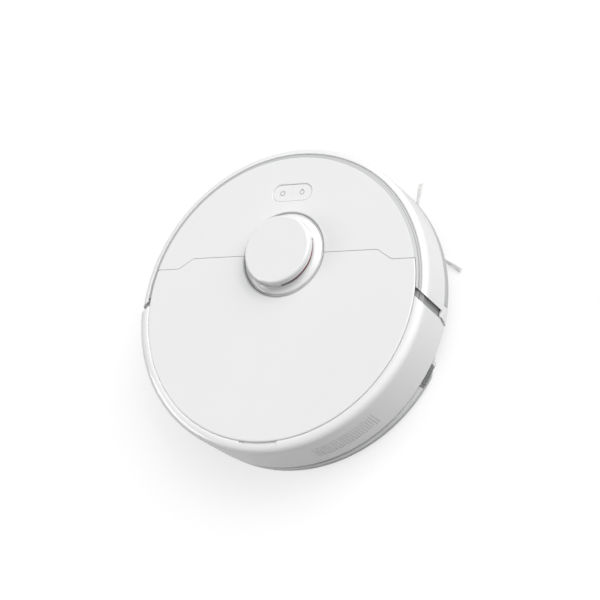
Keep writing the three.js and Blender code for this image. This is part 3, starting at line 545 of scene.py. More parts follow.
def board_green(name):
    """Solder mask over copper tracks."""
    look = Look(name)
    look.edge(0.15)
    tracks = look.node("ShaderNodeTexBrick")
    tracks.inputs["Scale"].default_value = 240.0
    tracks.inputs["Mortar Size"].default_value = 0.03
    look.link(look.place, tracks.inputs["Vector"])
    look.bump(tracks.outputs["Fac"], 0.03)
    tone = look.mix(tracks.outputs["Fac"], (0.012, 0.085, 0.04), (0.03, 0.16, 0.07))
    return look.done(tone, look.ranged(look.noise(90, 2.0), 0.28, 0.42))


def paper(name):
    """Filter paper with short fibres."""
    look = Look(name)
    fibres = look.noise(700, 4.0, look.stretched((1, 1, 0.35)))
    look.bump(fibres, 0.06)
    tone = look.mix(look.ranged(fibres, 0.0, 1.0), (0.74, 0.73, 0.69), (0.86, 0.855, 0.83))
    look.set(shine=0.2)
    return look.done(tone, 0.9)


def nylon(name, colour):
    """Slightly clear filaments."""
    look = Look(name)
    tone = look.mix(look.ranged(look.noise(180, 2.0), 0.0, 1.0), shaded(colour, 0.9), shaded(colour, 1.06))
    look.set(clear=0.05, ior=1.5)
    return look.done(tone, look.ranged(look.noise(300, 2.0), 0.3, 0.5))


SHELL = plastic("shell_white", (0.80, 0.80, 0.803), 0.40, grain=0.006, spread=0.006, edge=0.35)
GLOSS = plastic(
    "rim_white", (0.84, 0.84, 0.842), 0.16, grain=0, spread=0.006, edge=0.35, coat=0.4, coat_rough=0.08
)
SOFT_GREY = plastic("soft_grey", (0.60, 0.605, 0.61), 0.42, grain=0.015)
# Painted shade: a grey and a darker grey for the deck's outer edge and the lip round the turret, where shade
# falls.
SHADE_GREY = plastic("painted_shade_grey", (0.52, 0.523, 0.527), 0.4, grain=0.006, spread=0.006, edge=0.35)
DEEP_SHADE_GREY = plastic("painted_deep_shade_grey", (0.34, 0.342, 0.345), 0.45, grain=0.006, spread=0.006, edge=0)
# Painted shade: a grey for the shaded channel between the deck and the bumper.
CHANNEL_SHADE = plastic("channel_painted_shade", (0.62, 0.622, 0.625), 0.4, grain=0.006, edge=0)
# Painted shade: a mid grey for the inside of the side slots, darker than the light plastic there.
SLOT_SHADE_GREY = plastic("slot_painted_shade", (0.36, 0.362, 0.365), 0.5, grain=0.02)
CLIP_GREY = plastic("clip_grey", (0.25, 0.252, 0.256), 0.45, grain=0.02)
STRIP = plastic("strip_grey", (0.50, 0.505, 0.51), 0.55, grain=0.02, grain_scale=1200, edge=0.5)
CHASSIS = plastic(
    "chassis_dark", (0.052, 0.054, 0.058), 0.5, grain=0.05, grain_scale=900, spread=0.1, edge=0.4
)
BLACK = plastic("black_plastic", (0.020, 0.021, 0.023), 0.42, grain=0.02, spread=0.12)
WINDOW = plastic("window_black", (0.010, 0.008, 0.010), 0.07, grain=0, spread=0.1, coat=0.5, coat_rough=0.03)
RED = plastic("accent_red", (0.30, 0.012, 0.018), 0.25, grain=0, spread=0.05)
PRINT = plastic("printed_grey", (0.27, 0.275, 0.28), 0.5, grain=0.004, edge=0)
FOAM = soft_rubber("seal_foam", (0.05, 0.052, 0.055), 0.9)
TREAD = soft_rubber("tread_rubber", (0.018, 0.018, 0.019))
SOFT_RUBBER = soft_rubber("soft_rubber", (0.024, 0.024, 0.026))
FIN_RUBBER = soft_rubber("fin_rubber", (0.07, 0.075, 0.082), 0.5)
STEEL = metal("steel", (0.58, 0.59, 0.60), 0.26, (1, 0.1, 1))
CONTACT = metal("contact_plate", (0.72, 0.58, 0.30), 0.2, (0.1, 1, 1))
TANK = smoked("smoked_tank", (0.86, 0.865, 0.87), 0.16, 0.12)
TRAY = smoked("smoked_tray", (0.58, 0.585, 0.592), 0.3, 0.1)
BIN = smoked("smoked_bin", (0.42, 0.43, 0.45), 0.08, 0.85)
BOARD = board_green("circuit_board")
PAPER = paper("filter_paper")
WRAP = plastic("battery_wrap", (0.03, 0.085, 0.22), 0.3, grain=0.03, grain_scale=300, spread=0.08)
BRISTLE = nylon("bristle_white", (0.87, 0.87, 0.86))
DARK_BRISTLE = nylon("bristle_dark", (0.10, 0.105, 0.11))
MOP = cloth("mop_cloth")


# ---- Outer shells ----
def behind_seam(back):
    """Everything behind the stepped seam between the deck and the lid, moved back a little."""
    near, far = SEAM_STEP
    bends = [(-far, SEAM_SIDE_Y, 9), (-near, SEAM_Y, 9), (near, SEAM_Y, 9), (far, SEAM_SIDE_Y, 9)]
    line = rounded([(-FAR, SEAM_SIDE_Y), *bends, (FAR, SEAM_SIDE_Y), (FAR, FAR), (-FAR, FAR)], 8)
    return slab([(x, y + back) if y < FAR - 1 else (x, y) for x, y in line], 0, 120)


def behind_slot(offset):
    """Everything behind one of the slanted planes that bound the side slots."""

    def outline(z):
        middle, end = (offset + SLOT_SLANT * (x - SLOT_X) + SLOT_LEAN * (DECK_Z - z) for x in (0, FAR))
        return [(0, middle, z), (FAR, end, z), (FAR, FAR, z), (-FAR, FAR, z), (-FAR, end, z)]

    low, high = outline(0), outline(100)
    return prism(range(5), (lambda i: low[i], lambda i: high[i]), "behind_slot")


def flat_pill(radius):
    """The button recess's outline, drawn in or out to another radius."""
    reach = PILL_HALF - PILL_R
    right = [(reach + radius * math.cos(a), PILL_Y + radius * math.sin(a)) for a in half_turn(-90)]
    left = [(-reach + radius * math.cos(a), PILL_Y + radius * math.sin(a)) for a in half_turn(90)]
    return right + left


def pill(radius, low, high):
    return slab(flat_pill(radius), low, high)


def half_turn(start, steps=24):
    return [math.radians(start + 180 * i / steps) for i in range(steps + 1)]


def pill_flare():
    """The rounded mouth of the button recess, as a cutter that widens upwards."""
    low, high = (flat_pill(PILL_R + grow) for grow in (0, 1.3))
    count = len(low)
    return prism(range(count), (lambda i: (*low[i], 79.35), lambda i: (*high[i], DECK_Z + 0.3)), "flare")


def turret_hole(radius):
    """A hole whose mouth is rounded over like a lip."""
    turns = [math.radians(10 * i) for i in range(10)]
    outs = [radius + LIP_WIDE * (1 - math.cos(a)) for a in turns]
    heights = [DECK_Z + 0.01 - LIP_DEEP * (1 - math.sin(a)) for a in turns]
    return turned([(0, 60), (radius, 60), *zip(outs, heights), (radius + LIP_WIDE, 100), (0, 100)], TURRET)


def shade_lip(plate):
    """The lip round the turret is greyer the deeper it goes, where little light reaches."""
    plate.data.materials.append(SHADE_GREY)
    plate.data.materials.append(DEEP_SHADE_GREY)
    for face in plate.data.polygons:
        centre = face.center / MM
        outwards = (centre.xy - Vector(TURRET)).length - DECK_HOLE_R
        if outwards < LIP_WIDE + 1 and DECK_UNDER + 0.05 < centre.z < DECK_Z - 0.02:
            face.material_index = 2 if outwards < LIP_DARK else 1


def deck_shell():
    """The fixed top plate, with its posts, hinge ears and the ledge under the seam."""
    outline = [(0, DECK_UNDER), (163.3, DECK_UNDER), (163.3, 76.6), (166, 76.6, 0.3), (166, 78.1, 0.7)]
    outline += [(164.4, 78.9, 1.5), (161.7, DECK_Z, 2), (0, DECK_Z)]
    disc = turned(rounded(outline))
    lid_space = common(behind_seam(-SEAM_HALF), drum(163.3, 0, 120, count=RIM_SIDES))
    ledge = common(cut(behind_seam(-1.5), behind_seam(2.8)), drum(161.5, 77.7, 78.7, count=RIM_SIDES))
    band_ends = common(behind_slot(-SLOT_HALF), box((-FAR, FAR), (-20, FAR), (0, 120)))
    plate = join(cut(disc, lid_space, band_ends), ledge)
    plate = cut(plate, turret_hole(DECK_HOLE_R), pill(PILL_R, 70, 85), pill_flare())
    for x, y, radius, foot in DECK_POSTS:
        for side in (-1, 1):
            plate = join(plate, drum(radius, foot, DECK_UNDER + 0.5, (side * x, y), 32))
    for side in (-1, 1):
        for a, b in ((HINGE_X - 6.6, HINGE_X - 4.2), (HINGE_X + 4.2, HINGE_X + 6.6)):
            ear = box(sorted((side * a, side * b)), (HINGE[0] - 3, HINGE[0] + 3), (71.4, DECK_UNDER + 0.5))
            plate = join(plate, ear)
        plate = cut(plate, rod(1.7, side * 60, side * 80, HINGE, 24))
    dress(plate, "deck_shell", SHELL, "top_deck")
    shade_lip(plate)
    # Painted shade on the deck's outer edge: grey, and darker grey on its outermost side, where the bumper's
    # crown shades it.
    for face in plate.data.polygons:
        if from_axis(face) > SHADE_EDGE_R and face.center.z / MM > 76.7:
            face.material_index = 2 if from_axis(face) > DEEP_SHADE_EDGE_R else 1


def swan_neck(x):
    """One of the lid's two bent hinge arms."""
    y, z = HINGE
    outline = [(y - 1.6, z + 1.4, 1.2), (y - 1.6, z - 13, 3.6), (y + 13.6, z - 13, 3.6)]
    outline += [(y + 13.6, DECK_UNDER + 0.6), (y + 10.8, DECK_UNDER + 0.6), (y + 10.8, z - 10.4, 1.2)]
    outline += [(y + 1.6, z - 10.4, 1.2), (y + 1.6, z + 1.4, 1.2)]
    neck = across(rounded(outline), x - 3.6, x + 3.6)
    neck = join(neck, rod(2.7, x - 3.6, x + 3.6, HINGE, 40))
    return cut(neck, rod(1.7, x - 5, x + 5, HINGE, 24))


def lid_shell():
    outline = [(0, DECK_UNDER), (160.4, DECK_UNDER), (162.7, 78.6, 0.3), (162.7, 79.4, 0.5)]
    outline += [(161.4, DECK_Z, 2), (0, DECK_Z)]
    disc = turned(rounded(outline))
    plate = common(disc, behind_seam(SEAM_HALF))
    step = common(cut(behind_seam(0.2), behind_seam(3.5)), box((-FAR, FAR), (-FAR, FAR), (70, 79.0)))
    plate = cut(plate, turret_hole(DECK_HOLE_R + 0.6), step)
    plate = join(plate, swan_neck(-HINGE_X), swan_neck(HINGE_X))
    dress(plate, "lid_shell", SHELL, "rear_lid")
    shade_lip(plate)


def lid_lining():
    """Ribs and a foam seal on the lid's underside."""
    low, high = 76.9, DECK_UNDER + 0.2
    ribs = [box((x - 0.6, x + 0.6), (-28, 140 - abs(x) * 0.45), (low, high)) for x in (-120, -90, -60, 140)]
    ribs += [box((-140, -62), (y - 0.6, y + 0.6), (low, high)) for y in (-10, 20, 50, 80)]
    ring = cut(drum(156, low, high, count=RIM_SIDES), drum(154.6, low - 1, high + 1, count=RIM_SIDES))
    ring = common(ring, box((-FAR, FAR), (-26, FAR), (0, 120)))
    dress(merge(ribs[0], *ribs[1:], ring), "lid_ribs", SHELL, body="lid", slot="white_shell")
    seal = box((-42, 124), (35, 141), (low, high))
    seal = cut(seal, box((-39.5, 121.5), (37.5, 138.5), (low - 1, high + 1)))
    seal = common(seal, drum(153, 60, 90, count=RIM_SIDES))
    dress(seal, "lid_seal", FOAM, body="lid", slot="soft_rubber")


def housing_shell():
    """The rear side wall with its vent, and the liners behind the side slots, painted grey as painted shade.
    """
    crown = smooth_run([(175, 71), (174.6, 74.6), (173.2, 76.8), (170.6, 78.6), (167, 79.5), (164.5, 79.5)])
    profile = rounded([(172.8, SKIRT_Z + 0.3, 0.3), (DISC_R, SKIRT_Z + 0.3, 0.8), (DISC_R, 60)], closed=False)
    profile += crown
    rim = [(164.0, 79.45), (163.3, 78.9, 0.5), (163.3, 78.6), (162.8, 78.4), (162.8, 77.2)]
    profile += rounded(rim, closed=False)
    profile += [(158.8, 77.2), (158.8, 75.4), (166, 75.4), (170.4, 73.5), (172.8, 70.5)]
    ring = turned(profile)
    corners = across(rounded([(0, 34), (16.4, 34), (19, 25.6, 12), (22.4, 20), (0, 20)]), -FAR, FAR)
    ring = cut(common(ring, behind_slot(SLOT_HALF)), corners)
    step = (VENT_DEG[1] - VENT_DEG[0]) / (VENT_SLITS - 1)
    turns = [VENT_DEG[0] + step * i for i in range(VENT_SLITS)]
    slits = [radial_box(degrees, VENT_SLIT_WIDTH, 168, 180, *VENT_Z) for degrees in turns]
    ring = cut(ring, merge(slits[0], *slits[1:]), box((-23, 23), (155, 165.6), (76.5, 85)))
    dress(ring, "housing_shell", GLOSS, "rear_housing")
    mesh = wedge(VENT_DEG[0] - 0.9, VENT_DEG[1] + 0.9, 173.2, 174.3, VENT_Z[0] - 1, VENT_Z[1] + 1)
    dress(mesh, "vent_mesh", SHELL, body="base", slot="white_shell")
    for side, word in ((-1, "left"), (1, "right")):
        # Painted shade: each liner is a mid grey that stands for the shade deep in its slot.
        liner = wedge(*sorted((side * 83.2, side * 93.2)), 166.3, 171.2, 21, 73.2)
        dress(liner, word + "_slot_liner", SLOT_SHADE_GREY, body="base", slot="soft_grey")


def bumper_shell():
    """The front side wall with its grey strip and its dark window."""
    ledge = [(172.2, SKIRT_Z), (173.3, SKIRT_Z), (173.3, 30.7), (DISC_R, 30.7, 0.4), (DISC_R, 60)]
    shoulder = [(175, 68.5), (174.5, 72.4), (173.2, 74.5), (171, 75.8), (169.4, 76.15), (168.5, 76.1)]
    channel = [(168.1, 75.8), (168.0, 75.0), (166.5, 75.0), (166.3, 76.2), (164.6, 76.2)]
    inside = [(164.6, 74.2), (169.4, 74), (172.2, 70.5)]
    wall = turned([*rounded(ledge, closed=False), *smooth_run(shoulder), *channel, *inside])
    corner = [(172.2, 19.6, 0.3), (DISC_R, 19.6, 0.8), (DISC_R, CORNER_TOP, 0.3), (172.2, CORNER_TOP)]
    corner = turned(rounded(corner))
    start = STRIP_END_Y + 0.4
    corner = common(corner, across(rounded([(start, 19), (start, CORNER_TOP), *CORNER_BACK]), -FAR, FAR))
    wall = join(cut(wall, behind_slot(-SLOT_HALF)), corner)
    wall = cut(wall, wedge(165.6, 194.4, 160, 180, 41.6, 58.4))
    dress(wall, "bumper_shell", GLOSS, "bumper")
    # Painted shade: the channel's faces inside the bumper's rim are painted grey, for the shaded groove
    # between deck and bumper.
    wall.data.materials.append(CHANNEL_SHADE)
    for face in wall.data.polygons:
        if from_axis(face) < CHANNEL_R and face.center.z / MM > CHANNEL_Z:
            face.material_index = 1
    strip = turned(rounded([(173.6, SKIRT_Z), (DISC_R, SKIRT_Z, 0.9), (DISC_R, 30.3, 0.9), (173.6, 30.3)]))
    strip = common(strip, box((-FAR, FAR), (-FAR, STRIP_END_Y), (0, 60)))
    dress(strip, "bumper_strip_shell", STRIP, "bumper_strip")
    window = turned(rounded([(172.6, 42), (174.8, 42, 0.5), (174.8, 58, 0.5), (172.6, 58)]))
    window = common(window, wedge(166, 194, 160, 180, 40, 60))
    dress(window, "front_window_lens", WINDOW, "front_window")


# ---- Buttons with their printed marks ----
def ring_mark(x, inner, outer, low, high, gap=None):
    mark = cut(drum(outer, low, high, (x, PILL_Y), 48), drum(inner, low - 1, high + 1, (x, PILL_Y), 48))
    if gap:
        mark = cut(mark, box((x - gap, x + gap), (PILL_Y - 5, PILL_Y), (low - 1, high + 1)))
    return mark


def buttons():
    low, high, edge = 77.4, 79.2, 0.35
    for side, word in ((1, "power"), (-1, "dock")):
        keep = box(sorted((side * 0.03, side * 40)), (PILL_Y - 20, PILL_Y + 20), (60, 90))
        half = common(pill(PILL_R - edge, low, high), keep)
        half = join(half, drum(2.6, 64, 78, (side * BUTTON_X, PILL_Y), 32))
        dress(half, word + "_button_cap", SHELL, word + "_button")
    top, lift = 79.2, 0.04
    power = ring_mark(BUTTON_X, 2.3, 3.05, top, top + lift, 0.9)
    tail = box((BUTTON_X - 0.3, BUTTON_X + 0.3), (PILL_Y - 3.1, PILL_Y - 0.6), (top, top + lift))
    dress(merge(power, tail), "power_mark", PRINT, body="power_button", slot="soft_grey")
    dock = ring_mark(-BUTTON_X, 2.1, 2.8, top, top + lift)
    foot = box((-BUTTON_X - 1.9, -BUTTON_X + 1.9), (PILL_Y - 3.6, PILL_Y - 3.1), (top, top + lift))
    dress(merge(dock, foot), "dock_mark", PRINT, body="dock_button", slot="soft_grey")


# ---- Turret ----
def turret():
    """The skirt, the sprung cover on its three posts, and the red ring in the slot."""
    outline = [(43.8, 72), (46.2, 72), (46.4, 79.4, 0.5), (45.2, 80.2, 1.5), (42.6, 81, 4), (40.9, 82.2, 2)]
    outline += [(40, SLOT_LOW, 0.3), (37.2, SLOT_LOW, 0.3), (37.2, 80.6), (43.8, 77)]
    base = turned(rounded(outline), TURRET, TURRET_SIDES)
    dress(base, "turret_skirt", GLOSS, "turret_base")
    outline = [(0, 94.6), (36.6, 94.6), (36.9, SLOT_HIGH, 0.3), (TURRET_R, SLOT_HIGH, 0.4)]
    outline += [(TURRET_R, 94.4, 2), (38.8, 96, 1.6), (37.5, TURRET_TOP, 1.6), (0, TURRET_TOP)]
    cap = turned(rounded(outline), TURRET, TURRET_SIDES)
    ring = drum(39.3, SLOT_LOW + 0.3, SLOT_HIGH + 0.5, TURRET, TURRET_SIDES)
    ring = cut(ring, drum(37.2, 80, 95, TURRET, TURRET_SIDES))
    posts = [moved(radial_box(d, 11.6, 30, 45, 80, 92), *TURRET) for d in (0, 120, 240)]
    cap = join(cap, common(ring, merge(*posts)))
    dress(cap, "turret_cover", GLOSS, "turret_cap")
    cap.data.materials.append(SHELL)
    top = TURRET_TOP * MM - 1e-5
    for face in cap.data.polygons:
        if face.center.z > top:
            face.material_index = 1
    collar = rounded([(46.75, 73), (47.6, 73), (47.6, 78.7, 0.3), (46.75, 78.7, 0.3)])
    collar = turned(collar, TURRET, TURRET_SIDES)
    dress(collar, "turret_collar", SHELL, body="base", slot="white_shell")
    accent = rounded([(35.2, 82.2), (36.8, 82.2, 0.3), (36.8, 84.1, 0.5), (35.2, 84.1)])
    accent = turned(accent, TURRET, TURRET_SIDES)
    dress(accent, "accent_ring", RED, "turret_accent")


def lidar():
    outline = [(0, 64.9), (12, 64.9), (12, 67), (36, 67, 0.3), (36, 67.7, 0.3), (35, 68.1), (35, 69.9)]
    outline += [(36, 70.3, 0.3), (36, 71, 0.3), (33.5, 71, 0.5), (33.5, 91, 1), (32, 92.4, 0.6), (0, 92.4)]
    head = turned(rounded(outline), TURRET, 160)
    pocket = moved(box((-15, 15), (-40, -28), (79, 91.2)), *TURRET)
    dress(cut(head, pocket), "lidar_drum", BLACK, "lidar_head")
    lenses = []
    for x, radius in ((-6.5, 4.6), (7, 3.4)):
        lens = turned_by(drum(radius, 0, 1.0, (0, 0), 48), 90, "X")
        lenses.append(moved(lens, TURRET[0] + x, TURRET[1] - 30.2, 85.2))
    dress(merge(*lenses), "lidar_lenses", WINDOW, body="lidar_head", slot="window_black")


# ---- Mop module ----
def clip_notches():
    notches = [radial_box(d, 27, 166.4, 190, CLIP_NOTCH_Z, 40) for d in (-CLIP_DEG, CLIP_DEG)]
    return merge(*notches)


def mop_module():
    """The water tank, the plate under it, the filler plug and the two clips."""
    step_r, step_z = TANK_STEP
    lip_in, lip_z = TANK_LIP
    outline = [(0, 13.1), (lip_in, 13.1), (lip_in, lip_z, 0.4), (MOP_R, lip_z, 0.6), (MOP_R, step_z, 1.0)]
    outline += [(step_r, step_z + 0.4, 0.4), (step_r, 20.7, 0.6), (0, 20.7)]
    tank = common(turned(rounded(outline)), box((-TANK_SIDE_X, TANK_SIDE_X), (MOP_Y, FAR), (0, 40)))
    hollow = drum(step_r - 2.2, 14.7, 19.1, count=RIM_SIDES)
    hollow = common(hollow, box((-140, 140), (MOP_Y + 2.4, FAR), (0, 40)))
    tank = cut(tank, hollow, drum(7, 17.7, 30, TANK_PLUG, 48), clip_notches())
    dress(tank, "tank_shell", TANK, "water_tank")
    rim_in, rim_z = TRAY_RIM
    outline = [(0, 8), (rim_in, 8, 1), (rim_in, rim_z, 0.8), (MOP_R, rim_z, 1.6), (MOP_R, lip_z - 0.4, 0.8)]
    outline += [(lip_in - 0.4, lip_z - 0.4), (lip_in - 0.4, 12.7), (0, 12.7)]
    plate = turned(rounded(outline))
    plate = common(plate, box((-TRAY_SIDE_X, TRAY_SIDE_X), (MOP_Y + 1.6, FAR), (0, 40)))
    plate = cut(plate, clip_notches())
    dress(plate, "mop_tray", TRAY, "mop_plate")
    plug = join(drum(6.6, 17.9, 20.9, TANK_PLUG, 48), box((-61, -48), (128.5, 131.5), (19.6, 20.9)))
    dress(plug, "tank_plug", SOFT_RUBBER, body="mop_module", slot="soft_rubber")
    for side, word in ((-1, "left"), (1, "right")):
        grip = join(box((-13, 13), (169.4, 173), (10, 19.6)), box((-9, 9), (172, 174.2), (12, 17.6)))
        grooves = [box((x - 0.5, x + 0.5), (173.6, 176), (12.8, 16.8)) for x in (-6, -3, 0, 3, 6)]
        grip = turned_by(cut(grip, merge(*grooves)), side * CLIP_DEG)
        dress(grip, word + "_clip_grip", CLIP_GREY, word + "_mop_clip")


def drawn_in(at, middle, inset):
    """A coordinate moved towards the pad's middle, unless it is already close to it."""
    inward = middle - at
    return at if abs(inward) <= 12 else at + inward * min(1.0, inset / abs(inward))


def mop_cloth():
    """A flat pad with a rolled hem: an outline, drawn in step by step as it falls."""
    start = math.asin(PAD_HALF / PAD_R)
    turns = [-start + 2 * start * i / 120 for i in range(121)]
    outline = [(PAD_R * math.sin(a), PAD_R * math.cos(a)) for a in turns]
    outline += [(PAD_HALF - 2 * PAD_HALF * i / 80, PAD_Y) for i in range(81)]
    backing = [(6.0, 7.6), (2.5, 7.6), (0.6, 6.6), (0.0, 5.2), (0.0, 3.4)]
    hem = [(0.5, 1.5), (1.8, 0.35), (3.4, 0.15), (4.6, 0.9), (6.0, 1.1), (7.5, 0.4), (10.0, 0.0)]
    rings = backing + hem
    points = []
    for inset, z in rings:
        points += [(drawn_in(x, 0, inset), drawn_in(y, PAD_MIDDLE_Y, inset), z) for x, y in outline]
    pad = mesh_object("pad", points, skin(0, len(rings), len(outline)))
    dress(pad, "mop_cloth", MOP, "mop_pad", angle=60)


# ---- Brushes ----
def side_brush():
    rng = random.Random(7)
    outline = rounded([(0, 4.6), (9.2, 4.6, 1.2), (11, 6.2, 1.2), (11, 9.6, 0.8), (0, 9.6)])
    hub = turned(outline, SIDE_BRUSH, ROUND_SIDES)
    shaft = drum(3.6, 9, 18, SIDE_BRUSH, 48)
    recess = moved(drum(3.0, 4.0, 5.6, (0, 0), 48), *SIDE_BRUSH)
    hub = cut(join(hub, shaft), recess)
    sleeves, hairs = [], []
    for degrees in SIDE_BRUSH_ANGLES:
        turn = Matrix.Translation((*SIDE_BRUSH, 0)) @ Matrix.Rotation(math.radians(degrees), 4, "Z")
        path = [(5, 0, 7.3), (10, 0, 7.2), (16, 0, 6.7), (22, 0, 6.2), (28, 0, 5.8), (29.4, 0, 5.7)]
        sleeves.append(tube([tuple(turn @ Vector(p)) for p in path], [3.2, 2.9, 2.4, 2.1, 1.9, 1.5], 20))
        for _ in range(46):
            across_at, lift = rng.uniform(-1, 1), rng.uniform(-1, 1)
            reach = SIDE_BRUSH_REACH - rng.uniform(0.0, 3.0)
            spread = 3.0 * across_at + rng.uniform(-0.2, 0.2)
            tip_z = 1.55 + 0.5 * lift
            line = []
            for k in range(7):
                share = k / 6
                r = 27 + (reach - 27) * share
                y = across_at * 1.3 * (1 - share) + spread * share**2
                z = (5.7 + 0.9 * lift) * (1 - share) + tip_z * share + 0.5 * math.sin(math.pi * share)
                line.append(tuple(turn @ Vector((r, y, z))))
            hairs.append(tube(line, [0.17] * 6 + [0.12], 5))
    dress(hub, "side_brush_hub", BRISTLE, "side_brush")
    arms = strands("sleeves", sleeves)
    dress(arms, "side_brush_arms", SOFT_GREY, body="side_brush", slot="bristle", angle=50)
    tufts = strands("hairs", hairs)
    dress(tufts, "side_brush_hairs", BRISTLE, body="side_brush", slot="bristle", angle=80)


def main_brush():
    """A core with chevron fins and a row of tufts between each pair."""
    fins, steps = 5, 60
    twist = math.radians(72)
    points, faces = [], []
    flank = [(6.9, 0.16), (17.6, 0.035), (18.8, 0.03)]
    section = [*((r, -a) for r, a in flank), (19.0, 0.0), *reversed(flank)]
    for fin in range(fins):
        start = len(points)
        for i in range(steps + 1):
            x = -ROLLER_HALF + 2 * ROLLER_HALF * i / steps
            lead = twist * abs(x) / ROLLER_HALF + 2 * math.pi * fin / fins
            for r, a in section:
                points.append((x, ROLLER[0] + r * math.cos(lead + a), ROLLER[1] + r * math.sin(lead + a)))
        faces += skin(start, steps + 1, len(section))
    blades = mesh_object("fins", points, faces)
    dress(blades, "main_brush_fins", FIN_RUBBER, body="main_brush", slot="brush_rubber", angle=60)
    core = merge(
        rod(7.2, -ROLLER_HALF, ROLLER_HALF, ROLLER, 64),
        rod(3.0, -80, -74, ROLLER, 32),
        rod(5.8, 79.2, 83.8, ROLLER, 48),
        box((74, 79.6), (ROLLER[0] - 3, ROLLER[0] + 3), (ROLLER[1] - 3, ROLLER[1] + 3)),
        rod(11.5, -ROLLER_HALF - 0.4, -ROLLER_HALF + 1.6, ROLLER, 64),
        rod(11.5, ROLLER_HALF - 1.6, ROLLER_HALF + 0.4, ROLLER, 64),
    )
    dress(core, "main_brush_core", BLACK, "main_brush")
    rng = random.Random(11)
    hairs = []
    for fin in range(fins):
        for i in range(34):
            x = -70 + 140 * i / 33
            lead = twist * abs(x) / ROLLER_HALF + 2 * math.pi * (fin + 0.5) / fins
            for _ in range(7):
                a = lead + rng.uniform(-0.07, 0.07)
                dx = rng.uniform(-1.3, 1.3)
                ends = [(x, 6.8), (x + dx * 0.5, 12.5), (x + dx, 17.4 + rng.uniform(-0.4, 0.5))]
                line = [(px, ROLLER[0] + r * math.cos(a), ROLLER[1] + r * math.sin(a)) for px, r in ends]
                hairs.append(tube(line, [0.14, 0.13, 0.1], 3))
    tufts = strands("tufts", hairs)
    dress(tufts, "main_brush_tufts", DARK_BRISTLE, body="main_brush", slot="brush_rubber", angle=80)


# ---- Wheels ----
def tyre(side, word):
    """A tyre with rounded shoulders and slanted lugs."""
    lugs, per_lug = 18, 14
    sides = lugs * per_lug
    turns = [-math.pi / 2 + 2 * math.pi * k / sides for k in range(sides)]
    shares = [-1 + 2 * i / 32 for i in range(33)]
    points = []
    for share in shares:
        x = side * WHEEL_X + WHEEL_HALF * share
        shoulder = 1.6 * max(0.0, (abs(share) - 0.72) / 0.28) ** 2.2
        for k, a in enumerate(turns):
            lean = 0.09 * abs(share)
            phase = ((k / per_lug + lean * lugs / (2 * math.pi) + 0.5) % 1.0) - 0.5
            rise = min(1.0, max(0.0, (0.30 - abs(phase)) / 0.06))
            radius = WHEEL_R - 1.8 + 1.8 * rise * rise * (3 - 2 * rise) - shoulder
            points.append((x, radius * math.cos(a), WHEEL_R + radius * math.sin(a)))
    for edge in (side * WHEEL_X + WHEEL_HALF, side * WHEEL_X - WHEEL_HALF):
        points += [(edge, 24.2 * math.cos(a), WHEEL_R + 24.2 * math.sin(a)) for a in turns]
    made = mesh_object("tyre", points, skin(0, len(shares) + 2, sides, capped=False))
    dress(made, word + "_tread", TREAD, word + "_tyre", angle=40)


def hub(side, word):
    centre = (0, WHEEL_R)
    at = side * WHEEL_X
    face = sorted((at + side * 5.2, at + side * 10))
    body = rod(23.7, at - 8, at + 8, centre)
    dish = cut(rod(20.6, *face, centre), rod(8.4, face[0] - 1, face[1] + 1, centre, 64))
    body = cut(body, dish)
    for i in range(5):
        spoke = box((-1.2, 1.2), (-2.5, 2.5), (5.5, 22.5))
        moved(turned_by(spoke, 72 * i, "X"), at + side * 6.2, 0, WHEEL_R)
        body = join(body, spoke)
    body = cut(body, rod(4.5, at - 20, at + 20, centre, 48))
    dress(body, word + "_hub", SOFT_GREY, word + "_wheel_hub")


def caster_wheel():
    end = [(2, 14.5, 9), (6, 13.6, 2.5), (6, 11.6), (8, 11.4, 0.8), (8, 2.3)]
    start = [(-point[0], *point[1:]) for point in reversed(end)]
    wheel = turned([(r, x) for x, r in rounded(start + end)], sides=ROUND_SIDES)
    wheel.data.transform(Matrix.Rotation(math.radians(90), 4, "Y"))
    moved(wheel, *CASTER)
    dress(wheel, "caster_roller", SOFT_GREY, "caster_wheel")


# ---- Small fittings that ride on the base ----
SCREWS_UNDER = [(140, -20), (-140, -20), (128, 40), (-128, 40), (60, -118), (-60, -118), (96, -96), (0, -45)]
SCREWS_UNDER += [(-66, -103), (66, -103)]
SCREWS_ABOVE = [(145, 15), (-145, 15), (-58, 141), (100, 118), (-100, -20), (100, -20)]
CLIFF_SENSORS = [(95, -117), (-62, -139), (62, -139), (-149, 20), (149, 20)]


def screw(x, y, z, down=True, radius=2.6):
    head = turned(rounded([(0, 0), (radius, 0), (radius, 0.7, 0.5), (0, 1.1)]), sides=32)
    cross = join(box((-1.7, 1.7), (-0.35, 0.35), (0.35, 3)), box((-0.35, 0.35), (-1.7, 1.7), (0.35, 3)))
    head = cut(head, cross)
    turned_by(head, 17 * (x + y) % 90)
    if down:
        turned_by(head, 180, "X")
    return moved(head, x, y, z)


def fittings():
    """Screws, cliff sensor windows and the latches of the brush guard."""
    heads = [screw(x, y, 10.02) for x, y in SCREWS_UNDER]
    heads += [screw(x, y, 75.0, down=False) for x, y in SCREWS_ABOVE]
    dress(merge(heads[0], *heads[1:]), "screws", STEEL, body="base", slot="steel")
    eyes = []
    for x, y in CLIFF_SENSORS:
        angle = math.degrees(math.atan2(-x, -y))
        eye = box((-9, 9), (-4, 4), (9.5, 10.2))
        turned_by(eye, -angle)
        eyes.append(moved(eye, x * 0.985, y * 0.985))
    dress(merge(eyes[0], *eyes[1:]), "cliff_sensors", WINDOW, body="base", slot="window_black")
    latches = [box((x - 9, x + 9), (31.2, 35.5), (8.2, 9.8)) for x in (-62, 62)]
    dress(merge(*latches), "guard_latches", SOFT_GREY, body="base", slot="soft_grey")


